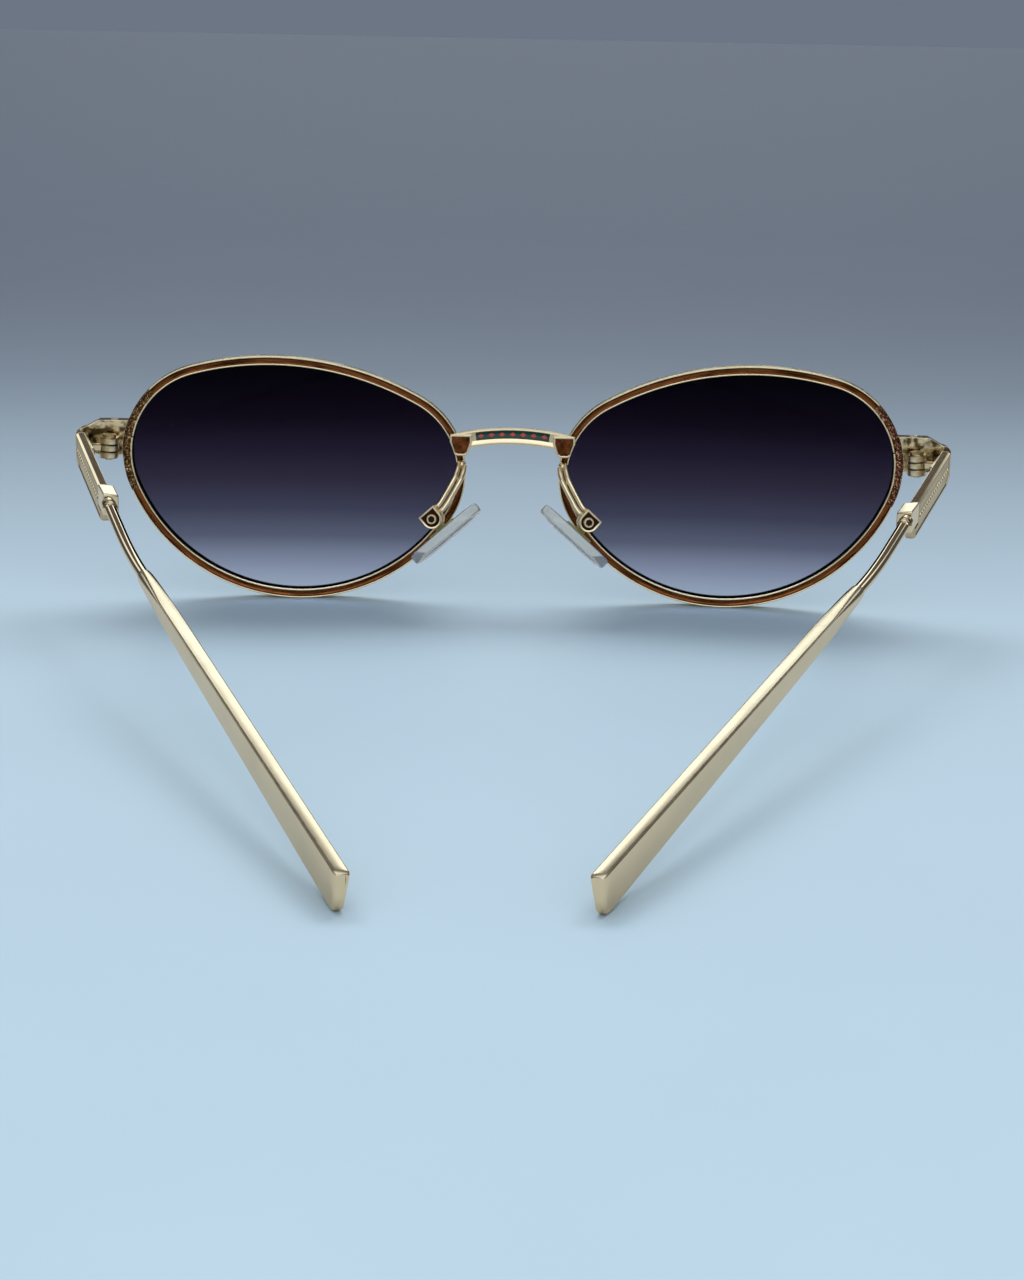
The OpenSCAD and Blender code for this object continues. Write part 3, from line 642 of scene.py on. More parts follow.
class Finish(Nodes):
    """A node material round one Principled shader."""

    def __init__(self, name):
        self.material = bpy.data.materials.new(name)
        self.material.use_nodes = True
        super().__init__(self.material.node_tree)
        self.shader = self.nodes["Principled BSDF"]
        self.place = self.add("ShaderNodeTexCoord").outputs["Object"]

    def noise(self, per_mm, detail=2.0, roughness=0.5, stretch=None):
        node = self.add("ShaderNodeTexNoise", Scale=per_mm / MM, Detail=detail, Roughness=roughness)
        place = self.place
        if stretch:
            mapping = self.add("ShaderNodeMapping", Scale=stretch)
            self.feed(mapping.inputs["Vector"], place)
            place = mapping.outputs["Vector"]
        self.feed(node.inputs["Vector"], place)
        return node.outputs["Fac"]

    def set(self, **values):
        for key, value in values.items():
            self.feed(self.shader.inputs[key.replace("_", " ")], value)

    def bump(self, value, depth, strength):
        """A relief with its depth in millimetres."""
        node = self.add("ShaderNodeBump", Strength=strength, Distance=depth * MM)
        self.feed(node.inputs["Height"], value)
        self.feed(self.shader.inputs["Normal"], node.outputs["Normal"])


def shade(c, k):
    """A colour made paler or darker."""
    return tuple(max(0.0, min(1.0, v * k)) for v in c)


def metal(name, c, rough, wear=0.06):
    """Plated metal: small tone and polish differences, faint brushed scratches."""
    f = Finish(name)
    tone = f.spread(f.noise(0.1, 3), 0, 1)
    f.set(Base_Color=f.mix(tone, shade(c, 1 - wear), shade(c, 1 + wear)), Metallic=1.0,
          Roughness=f.spread(f.noise(0.2, 4), rough * 0.85, rough * 1.2))
    f.bump(f.noise(5, 2, stretch=(1, 0.15, 1)), 0.02, 0.05)


def patchy(f, grain, split, dark, pale, haze, rough, relief, depth, strength):
    """Metal of two tones that a grain splits, with a polish that changes and a relief."""
    f.set(Base_Color=f.mix(f.spread(grain, 0, 1, *split), dark, pale), Metallic=1.0,
          Roughness=f.spread(f.noise(*haze), *rough))
    f.bump(relief, depth, strength)


def glossy(name, c, grain, dark, pale, haze, rough, wave, strength, **shader):
    """Enamel or clear plastic: tones that run into each other on a gently uneven surface."""
    f = Finish(name)
    f.set(Base_Color=f.mix(f.noise(grain, 3), shade(c, dark), shade(c, pale)),
          Roughness=f.spread(f.noise(*haze), *rough), **shader)
    f.bump(f.noise(wave, 2), 0.03, strength)


# How much of the lens's bottom tint is left at a share of its height, up to its top tint
LENS_FADE = ((0, (1, 1, 1)), (0.09, (0.656, 0.636, 0.697)), (0.21, (0.265, 0.252, 0.298)),
             (0.335, (0.126, 0.110, 0.153)), (0.46, (0.073, 0.052, 0.079)),
             (0.59, (0.0355, 0.023, 0.0435)), (0.72, (0.016, 0.0083, 0.019)))

# How much the near tone of the floor counts at a share of the way from far to near
FLOOR_FALL = ((0, 0), (0.24, 0.02), (0.34, 0.05), (0.42, 0.104), (0.485, 0.16), (0.54, 0.272),
              (0.588, 0.394), (0.629, 0.506), (0.665, 0.602), (0.696, 0.69), (0.73, 0.81),
              (0.757, 0.90), (0.81, 0.94), (1, 1))

# The material behind each word that the pieces use for a finish
FINISHES = {
    "gold": "polished_gold", "temple": "satin_gold", "bright": "bright_gold", "screw": "dark_gold",
    "lip": "pale_gold", "plate": "plate_gold", "side": "shaded_plate_side", "dark": "painted_shade_olive",
    "shadow": "painted_shade_brown", "channel": "brown_gold", "brown": "foot_brown", "stained": "back_shade_glint_gold",
    "hammered": "hammered_gold", "lens": "tinted_glass", "enamel": "green_enamel",
    "coral": "coral_enamel", "silicone": "clear_silicone", "core": "yellow_core",
}


def make_finishes():
    """Makes every material that FINISHES names."""
    c = SimpleNamespace(**{key: tuple(value) for key, value in
                           plain(bpy.context.scene.glasses_finish).__dict__.items()})
    metal("polished_gold", c.gold, 0.14)
    metal("satin_gold", c.temple_gold, 0.2)
    metal("bright_gold", c.temple_gold, 0.3)
    metal("dark_gold", c.screw, 0.28, 0.12)
    metal("pale_gold", c.rim_gold, 0.26)
    metal("plate_gold", c.gold, 0.08)
    # The plates' sides: a satin copy of the temple gold, darkened as painted shade.
    metal("shaded_plate_side", shade(c.temple_gold, 0.72), 0.32)
    # Dark olive for the rounded edges of the hinges and locks: painted shade for the gaps between them.
    metal("painted_shade_olive", (0.20, 0.15, 0.08), 0.3)
    # Dark brown for painted shade in grooves, sockets, sunken fields and the steep wall of the rims'
    # channel.
    metal("painted_shade_brown", (0.035, 0.015, 0.008), 0.4, 0.3)

    f = Finish("brown_gold")
    f.place = f.add("ShaderNodeAttribute", attribute_name="rim_way").outputs["Vector"]
    streak = f.noise(2.2, 4, 0.6, stretch=(0.1, 1, 1))
    patchy(f, streak, (0.35, 0.72), shade(c.channel, 0.3), shade(c.channel, 2.2), (1.6, 3),
           (0.22, 0.42), streak, 0.04, 0.5)
    f = Finish("foot_brown")
    patchy(f, f.noise(0.8, 4, 0.6), (0.3, 0.7), shade(c.channel, 0.25), shade(c.channel, 1.7),
           (1.6, 3), (0.22, 0.42), f.noise(3.0, 3), 0.04, 0.5)
    # Dark olive gold with patches of pale gold: painted shade with painted highlights, for faces that
    # point back.
    f = Finish("back_shade_glint_gold")
    patch = f.noise(0.75, 2, 0.5)
    patchy(f, patch, (0.42, 0.60), (0.12, 0.085, 0.04), shade(c.gold, 0.95), (0.8, 2), (0.10, 0.24),
           patch, 0.15, 0.6)
    f = Finish("hammered_gold")
    grain = f.noise(4.4, 3, 0.65)
    leftness = f.spread(f.axis(f.place, "X"), 0, 1, -20 * MM, 20 * MM)
    fleck = f.mix(leftness, (0.86, 0.50, 0.36), (0.78, 0.60, 0.30))
    patchy(f, grain, (0.54, 0.64), shade(c.channel, 0.55), fleck, (1.6, 3), (0.14, 0.30),
           grain, 0.10, 1.0)

    f = Finish("tinted_glass")
    height = f.spread(f.axis(f.place, "Z"), 0, 1, 2.0 * MM, 40.0 * MM)
    stops = [(at, tuple(v * k for v, k in zip(c.lens_low, tint))) for at, tint in LENS_FADE]
    # Next to the rim the lens turns nearly black: painted shade where it meets the rim.
    edge = f.add("ShaderNodeAttribute", attribute_name="lens_edge_shade").outputs["Fac"]
    f.set(Base_Color=f.mix(edge, f.ramp(height, stops + [(1, c.lens_top)]), (0.012, 0.01, 0.02)),
          Transmission_Weight=1.0, IOR=1.09, Roughness=f.spread(f.noise(0.05, 2), 0.0, 0.03))
    f.bump(f.noise(0.05, 1), 0.01, 0.04)

    coat = {"Coat_Weight": 0.6, "Coat_Roughness": 0.05}
    glossy("green_enamel", c.enamel, 0.9, 0.5, 1.4, (2, 2), (0.05, 0.14), 0.7, 0.2, **coat)
    glossy("coral_enamel", c.lozenge, 1.4, 0.7, 1.15, (2, 2), (0.08, 0.18), 0.9, 0.2, **coat)
    glossy("clear_silicone", c.silicone, 0.3, 0.96, 1, (0.6, 3), (0.08, 0.2), 0.8, 0.15,
           Transmission_Weight=0.88, IOR=1.41)
    glossy("yellow_core", c.pad_core, 0.8, 0.75, 1.15, (1, 2), (0.12, 0.25), 1.2, 0.2,
           Transmission_Weight=0.55, IOR=1.5)


def finishes():
    """The finishes by their words, made once and found again by name afterwards."""
    if FINISHES["gold"] not in bpy.data.materials:
        make_finishes()
    return {key: bpy.data.materials[name] for key, name in FINISHES.items()}


# Pieces


class GLASSES_OT_stage(bpy.types.Operator):
    """Makes the camera, the floor, the studio that metal mirrors and the soft lamps"""

    bl_idname = "glasses.stage"
    bl_label = "Stage"

    def execute(self, context):
        scene = context.scene
        scene.view_settings.view_transform = "Standard"
        self.camera(scene)
        self.floor(scene.glasses_stage)
        self.world(scene)
        self.lamps(scene)
        return {"FINISHED"}

    def camera(self, scene):
        """Looks at the glasses from behind and a little above, with its axes as they were fitted."""
        place = (-6.52, 298.14, 91.06)
        right = Vector((-0.99960, -0.02128, 0.01836))
        up = Vector((0.02321, -0.25688, 0.96617))
        ahead = Vector((0.01585, -0.96621, -0.25727))
        camera = bpy.data.objects.new("camera", bpy.data.cameras.new("camera"))
        scene.collection.objects.link(camera)
        camera.data.lens = scene.glasses_stage.lens_mm
        camera.data.sensor_width = 36
        camera.data.clip_start = 0.01
        turn = Matrix((right, up, -ahead)).transposed().to_4x4()
        camera.matrix_world = Matrix.Translation(Vector(place) * MM) @ turn
        scene.camera = camera

    def floor(self, s):
        """A wide pale floor that darkens to slate far beyond the front of the glasses. In what is
        mirrored it is grey round the glasses and dark farther off."""
        rows = [12.0, 1.0, 0.3, 0.1, -0.1, -0.4, -1.0, -3.0, -20.0]
        points = [(x, y, 0) for y in rows for x in (-15.0, 15.0)]
        faces = [(2 * i, 2 * i + 1, 2 * i + 3, 2 * i + 2) for i in range(len(rows) - 1)]
        mesh = bpy.data.meshes.new("floor")
        mesh.from_pydata(points, [], faces)
        for polygon in mesh.polygons:
            polygon.use_smooth = True
        obj = new_object("floor", mesh)
        f = Finish("floor_paper")
        stops = [(at, tuple(a * k + b * (1 - k) for a, b in zip(s.floor_near, s.floor_far)))
                 for at, k in FLOOR_FALL]
        tone = f.add("ShaderNodeVectorMath", operation="SCALE")
        f.feed(tone.inputs[0], f.ramp(f.spread(f.axis(f.place, "Y"), 0, 1, -0.75, 0.15), stops))
        f.feed(tone.inputs["Scale"], f.spread(f.noise(0.02, 4), 0.985, 1.015))
        away = f.add("ShaderNodeVectorMath", operation="LENGTH")
        f.feed(away.inputs[0], f.place)
        glossy_ray = f.add("ShaderNodeLightPath").outputs["Is Glossy Ray"]
        mirrored = f.mix(f.spread(away.outputs["Value"], 0, 0.92, 0.22, 0.34), (0.50, 0.54, 0.55),
                         (0.03, 0.028, 0.025))
        f.set(Base_Color=f.mix(glossy_ray, tone.outputs["Vector"], mirrored), Roughness=0.55,
              Specular_IOR_Level=0.2)
        mesh.materials.append(f.material)

    def world(self, scene):
        """Even pale light on everything, and dark surroundings with three soft panels for metal to
        mirror: in front of the glasses, beside them and behind them."""
        s = scene.glasses_stage
        world = bpy.data.worlds.new("studio")
        world.use_nodes = True
        scene.world = world
        n = Nodes(world.node_tree)
        around = n.add("ShaderNodeTexCoord").outputs["Generated"]
        rise = n.axis(around, "Z")
        turn = n.math("ARCTAN2", n.axis(around, "X"), n.math("MULTIPLY", n.axis(around, "Y"), -1.0))
        turn = n.math("DIVIDE", n.math("ABSOLUTE", turn), math.pi)
        dark = n.ramp(rise, [(0, (0.10, 0.11, 0.13)), (0.12, (0.07, 0.075, 0.085)),
                             (0.30, (0.085, 0.08, 0.085)), (0.72, (0.10, 0.095, 0.10)),
                             (0.86, (0.55, 0.58, 0.62)), (1, (0.9, 0.95, 1.0))])
        front = ([(0.29, 0), (0.31, 1), (0.51, 1), (0.53, 0)], [(0.095, 1), (0.105, 0)])
        beside = ([(0.33, 0), (0.35, 0.7), (0.52, 0.7), (0.54, 0)],
                  [(0.195, 0), (0.205, 1), (0.245, 1), (0.255, 0)])
        back = ([(0.18, 0), (0.22, 1), (0.62, 1), (0.68, 0)], [(0.76, 0), (0.80, 1)])
        panels = [n.math("MULTIPLY", n.ramp(rise, rises), n.ramp(turn, turns))
                  for rises, turns in (front, beside, back)]
        anywhere = n.math("MAXIMUM", n.math("MAXIMUM", *panels[:2]), panels[2])
        lit = n.mix(anywhere, dark, (1.50, 1.60, 1.62))
        path = n.add("ShaderNodeLightPath").outputs
        shown = n.mix(path["Is Glossy Ray"], (0.565, 0.593, 0.617), lit)
        for ray in ("Is Transmission Ray", "Is Camera Ray"):
            shown = n.mix(path[ray], shown, tuple(s.horizon))
        background = n.nodes["Background"]
        n.feed(background.inputs["Color"], shown)
        n.feed(background.inputs["Strength"], s.light)

    def lamps(self, scene):
        """A soft key from high in front, wide from side to side, which metal doesn't mirror."""
        count, spread, reach, height = 3, math.radians(34), 1.4, 1.75
        energy, softness = 1.85, math.radians(24)
        for k in range(count):
            turn = spread * (k - (count - 1) / 2)
            sun = bpy.data.lights.new("key_" + str(k), "SUN")
            sun.energy = energy / count * scene.glasses_stage.light
            sun.angle = softness
            lamp = bpy.data.objects.new(sun.name, sun)
            scene.collection.objects.link(lamp)
            lamp.location = (reach * math.sin(turn), -reach * math.cos(turn), height)
            lamp.rotation_euler = (-lamp.location).to_track_quat("-Z", "Y").to_euler()
            lamp.visible_glossy = False


class GLASSES_OT_rims(bpy.types.Operator):
    """Makes the two rims with their lens groove, their brown channel and the hammered stretch"""

    bl_idname = "glasses.rims"
    bl_label = "Rims"

    def execute(self, context):
        p = layout()
        m = finishes()
        for word, side in SIDES.items():
            points, faces, kinds, way = self.rim(p, side)
            materials = [m["lip"], m["channel"], m["hammered"], m["shadow"]]
            obj = mesh_object("rim_" + word + "_wire", points, faces, materials, kinds, 50)
            layer = obj.data.attributes.new("rim_way", "FLOAT_VECTOR", "POINT")
            layer.data.foreach_set("vector", way)
            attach(obj, "front")
            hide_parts("rim_" + word)
        return {"FINISHED"}

    def profile(self, p):
        """The wire's section as two runs of (growth, depth) points: the channel in its back, and the
        way round from its outer lip over the front and the lens groove to its inner lip."""
        w, d, lip, low = p.rim_w, p.rim_d, p.lip_w, p.channel_d
        channel = [(lip, 0.07), (lip + 0.10, low * 0.7), (lip + 0.24, low * 0.95), (w / 2, low),
                   (w - lip - 0.24, low * 0.95), (w - lip - 0.15, low * 0.75), (w - lip, 0.07)]
        outer = [(w - lip + 0.05, 0.015), (w - 0.13, 0.0), (w - 0.05, 0.03), (w - 0.01, 0.12), (w, 0.4),
                 (w, d / 2), (w, d - 0.4), (w - 0.04, d - 0.16), (w - 0.14, d - 0.05), (w - 0.3, d)]
        front = [(w / 2, d), (0.3, d), (0.12, d - 0.05), (0.03, d - 0.14), (0.0, d - 0.24)]
        play = 0.04
        groove_back = (d - p.lens_t) / 2 - play
        groove_front = groove_back + p.lens_t + 2 * play
        bite = p.lens_bite + play
        groove = [(0.0, groove_front), (bite, groove_front), (bite, groove_back), (0.0, groove_back)]
        inner = [(0.0, 0.12), (0.03, 0.04), (0.10, 0.0), (lip - 0.05, 0.015)]
        return channel, outer + front + groove + inner

    def rim(self, p, side):
        """Points, faces, the finish of each face, and the place of each point along the rim."""
        count, hammered_lip, least_fade, middle = 640, 4, 0.25, 0.7
        # The last kind is the channel's steep outer wall, dark brown as painted shade in the corner.
        lip, channel_brown, hammered, channel_wall_shade = range(4)
        channel, rest = self.profile(p)
        reach = len(channel) + hammered_lip
        samples = oval(p, count)
        way_round = 2 * math.pi * p.eye_z
        rings, way = [], []
        slit_z = p.lock_z - p.eye_z
        slit_edge = {0: slit_z + p.rim_slit / 2, count: slit_z - p.rim_slit / 2}
        for i in range(count + 1):
            ring = []
            for j, (g, d) in enumerate(channel + rest):
                q = grown(samples[i % count], g)
                if i in slit_edge:
                    q = Vector((q.x, slit_edge[i]))
                elif j < reach:
                    d = d - self.hammer(q)
                ring.append(on_eye(p, side, q.x, q.y, d))
                way += [way_round * i / count * MM, g * MM, d * MM]
            rings.append(ring)
        points, faces = skin(rings)
        kinds = []
        for i in range(count):
            beaten = self.fade(grown(samples[i], middle)) > least_fade
            for j in range(len(rings[0])):
                if beaten and j < reach:
                    kinds.append(hammered)
                elif j < len(channel) - 2:
                    kinds.append(channel_brown)
                else:
                    kinds.append(channel_wall_shade if j == len(channel) - 2 else lip)
        return points, faces, kinds + [lip, lip], way

    def fade(self, q):
        """How strongly the rim is hammered at a place: 1 beside the hinge, 0 elsewhere."""
        low, low_run, high, high_run = -4.8, 0.8, 11.5, 2.0
        if q.x < 0:
            return 0.0
        return max(0.0, min(1.0, (q.y - low) / low_run)) * max(0.0, min(1.0, (high - q.y) / high_run))

    def hammer(self, q):
        """Height of the hammered stretch near the hinge, fading out at its two ends."""
        fade = self.fade(q)
        if fade <= 0:
            return 0.0
        broad = noise.noise(Vector((q.x * 1.5, q.y * 1.5, 3.1)))
        fine = noise.noise(Vector((q.x * 4, q.y * 4, 7)))
        return fade * max(-0.06, min(0.16, 0.06 + 0.26 * (broad + 0.6 * fine)))


class GLASSES_OT_lenses(bpy.types.Operator):
    """Makes the two tinted lenses"""

    bl_idname = "glasses.lenses"
    bl_label = "Lenses"

    def execute(self, context):
        p = layout()
        m = finishes()
        for word, side in SIDES.items():
            obj = self.lens(p, side, "lens_" + word + "_glass", m["lens"])
            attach(obj, "front")
            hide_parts("lens_" + word)
        return {"FINISHED"}

    def lens(self, p, side, name, material):
        """A curved plate from its middle out to the rim's groove and back. Each ring has a growth,
        a share of the outline's size, a depth and a flag for the dark edge, which is painted shade
        where the lens meets the rim."""
        samples = oval(p, 200)
        back = (p.rim_d - p.lens_t) / 2
        front = back + p.lens_t
        bite = p.lens_bite
        rows = [(-0.45, s, 0.0) for s in (0.04, 0.12, 0.25, 0.4, 0.55, 0.7, 0.82, 0.92, 0.97, 1.0)]
        rows += [(-0.16, 1.0, 0.0), (-0.05, 1.0, 1.0), (0.1, 1.0, 1.0), (bite - 0.08, 1.0, 1.0)]
        stations = [(g, s, back, e) for g, s, e in rows]
        stations += [(bite, 1.0, back + 0.1, 1.0), (bite, 1.0, front - 0.1, 1.0)]
        stations += [(g, s, front, e) for g, s, e in reversed(rows)]
        rings, edge = [], []
        for g, s, d, e in stations:
            ring = []
            for sample in samples:
                q = grown(sample, g) * s
                ring.append(on_eye(p, side, q.x, q.y, d))
                edge.append(e)
            rings.append(ring)
        points, faces = skin(rings)
        obj = mesh_object(name, points, faces, [material], sharp=30)
        layer = obj.data.attributes.new("lens_edge_shade", "FLOAT", "POINT")
        layer.data.foreach_set("value", edge)
        return obj


class GLASSES_OT_bridge(bpy.types.Operator):
    """Makes the arched bridge with its two feet, and the enamel strip let into its back"""

    bl_idname = "glasses.bridge"
    bl_label = "Bridge"

    def execute(self, context):
        p = layout()
        m = finishes()
        bar = self.bar(p, m["bright"])
        bar.data.materials.append(m["brown"])
        for side in SIDES.values():
            trim(bar, self.foot(p, side, m["bright"], m["brown"]), "UNION")
        trim(bar, self.seat(p, m["gold"]))
        for side in SIDES.values():
            trim(bar, self.room(p, side, m["gold"]))
        finish_mesh(bar.data, 35)
        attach(bar, "front")
        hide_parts("bridge")
        strip = self.strip(p, m)
        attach(strip, "front")
        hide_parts("bridge_inlay")
        return {"FINISHED"}

    def on_arch(self, p, radius, turn, y):
        """A point at a turn from the top of the bridge's arch."""
        return on_front(p, 1, (radius * math.sin(turn), y, p.arch_z + radius * math.cos(turn)))

    def arch(self, p, outline, half, steps):
        """A section of (radius, y) points carried along the arch."""
        turns = [-half + 2 * half * k / steps for k in range(steps + 1)]
        return skin([[self.on_arch(p, q.x, turn, q.y) for q in outline] for turn in turns])

    def bar(self, p, material):
        """The arched bar, with a ledge that leans out below the strip."""
        lap, ledge_up, ledge_back = 0.4, 0.1, 0.3
        r0, r1 = p.bridge_r - p.bridge_h, p.bridge_r
        y0, y1 = p.bridge_back - p.bridge_d, p.bridge_back
        section = round_corners([(r0, y0), (r1, y0), (r1, y1), (p.inlay_low, y1),
                                 (r0 + ledge_up, y1 + ledge_back)], [0.7, 0.7, 0.25, 0.1, 0.3], 6)
        end = p.nose_side_x + lap
        points, faces = self.arch(p, section, math.asin(end / p.bridge_r), 60)
        return mesh_object("bridge_bar", points, faces, [material])

    def foot(self, p, side, material, brown):
        """A shield, square above and narrowing to a round end, with a raised border."""
        x = p.nose_side_x - p.rim_w / 2 + 0.15
        top = p.eye_z + p.bridge_up - 1.05
        w, low_w, h, straight_h = p.foot_w / 2, p.foot_w * 0.3, p.foot_h, p.foot_h * 0.35
        corners = [(-w, 0), (w, 0), (w, -straight_h), (low_w, -h), (-low_w, -h), (-w, -straight_h)]
        front, back = p.bridge_back - 1.2, p.bridge_back + 0.6
        border = edge_stations(front, back, 0.16) + [(back, 0.30)]
        field = [(back - 0.04, 0.36), (back - 0.22, 0.40), (back - 0.24, 0.46), (back - 0.2, 0.8)]
        points, faces = slab(corners, [0.3, 0.3, 0.6, 0.9, 0.9, 0.6], border + field,
                             lambda a, b, c: on_front(p, side, (x + a, c, top + b)))
        ring = len(points) // len(border + field)
        golden, browned = len(border) * ring, (len(field) - 1) * ring
        kinds = [0] * golden + [1] * browned + [0, 1]
        return mesh_object("bridge_foot", points, faces, [material, brown], kinds)

    def seat(self, p, material):
        """The place of the enamel strip, as a body to cut with."""
        low, top = p.inlay_low, p.inlay_top
        y0, y1 = p.bridge_back - p.inlay_d, p.bridge_back + 1
        section = [Vector(q) for q in ((low, y0), (top, y0), (top, y1), (low, y1))]
        points, faces = self.arch(p, section, p.inlay_half, 40)
        return mesh_object("strip_seat", points, faces, [material])

    def room(self, p, side, material):
        """The room of a rim and its lens, as a body to cut with."""
        samples = oval(p, 240)
        far_back, back, front = -8.0, -CLEARANCE, p.rim_d + CLEARANCE
        outside = p.rim_w + CLEARANCE
        stations = ((0.0, far_back), (0.0, back), (outside, back), (outside, front), (0.0, front))
        points, faces = skin([[on_eye(p, side, q.x, q.y, d) for q in (grown(s, g) for s in samples)]
                              for g, d in stations])
        return mesh_object("rim_room", points, faces, [material])

    def strip(self, p, m):
        """Dark green enamel with a row of small coral lozenges, a little domed."""
        low, top = p.inlay_low + CLEARANCE, p.inlay_top - CLEARANCE
        y0, y1 = p.bridge_back - p.inlay_d + CLEARANCE, p.bridge_back - 0.05
        mid, shoulder = (low + top) / 2, y1 - 0.04
        section = round_corners([(low, y0), (top, y0), (top, shoulder), (mid, y1), (low, shoulder)],
                                [0, 0, 0.08, 2, 0.08], 4)
        half = p.inlay_half - math.radians(0.06)
        parts = [self.arch(p, section, half, 60)]
        kinds = [0] * len(parts[0][1])
        wide, tall, row_share = 0.55, 0.36, 0.86
        corners = [(-wide, 0), (0, -tall), (wide, 0), (0, tall)]
        stations = [(y1 - 0.15, 0.0), (y1 + 0.01, 0.0), (y1 + 0.04, 0.05)]
        for k in range(p.lozenges):
            turn = half * row_share * (2 * k / max(1, p.lozenges - 1) - 1)
            parts.append(slab(corners, 0.08, stations,
                              lambda u, v, y, at=turn: self.on_arch(p, mid + v, at + u / mid, y), 3))
            kinds += [1] * len(parts[-1][1])
        points, faces = joined(parts)
        return mesh_object("bridge_strip", points, faces, [m["enamel"], m["coral"]], kinds, 30)


class GLASSES_OT_hinges(bpy.types.Operator):
    """Makes the endpieces, the closing blocks of the rims, the hinges and the screws of both"""

    bl_idname = "glasses.hinges"
    bl_label = "Endpieces and hinges"

    def execute(self, context):
        m = finishes()
        for word in SIDES:
            for stem, width in (("endpiece_", 0.12), ("lock_upper_", 0.1)):
                # Faces that point back are dark olive with pale patches, painted shade and highlights;
                # the others are polished.
                softened(stem + word, m["stained"], width, top=m["plate"])
            for stem in ("lock_lower_", "hinge_front_", "hinge_temple_"):
                # Their rounded edges are dark olive, painted shade for the gaps between the knuckles.
                softened(stem + word, m["bright"], edge=m["dark"])
        for node in ("lock_screws", "hinge_screws"):
            softened(node, m["screw"], 0.05)
        return {"FINISHED"}


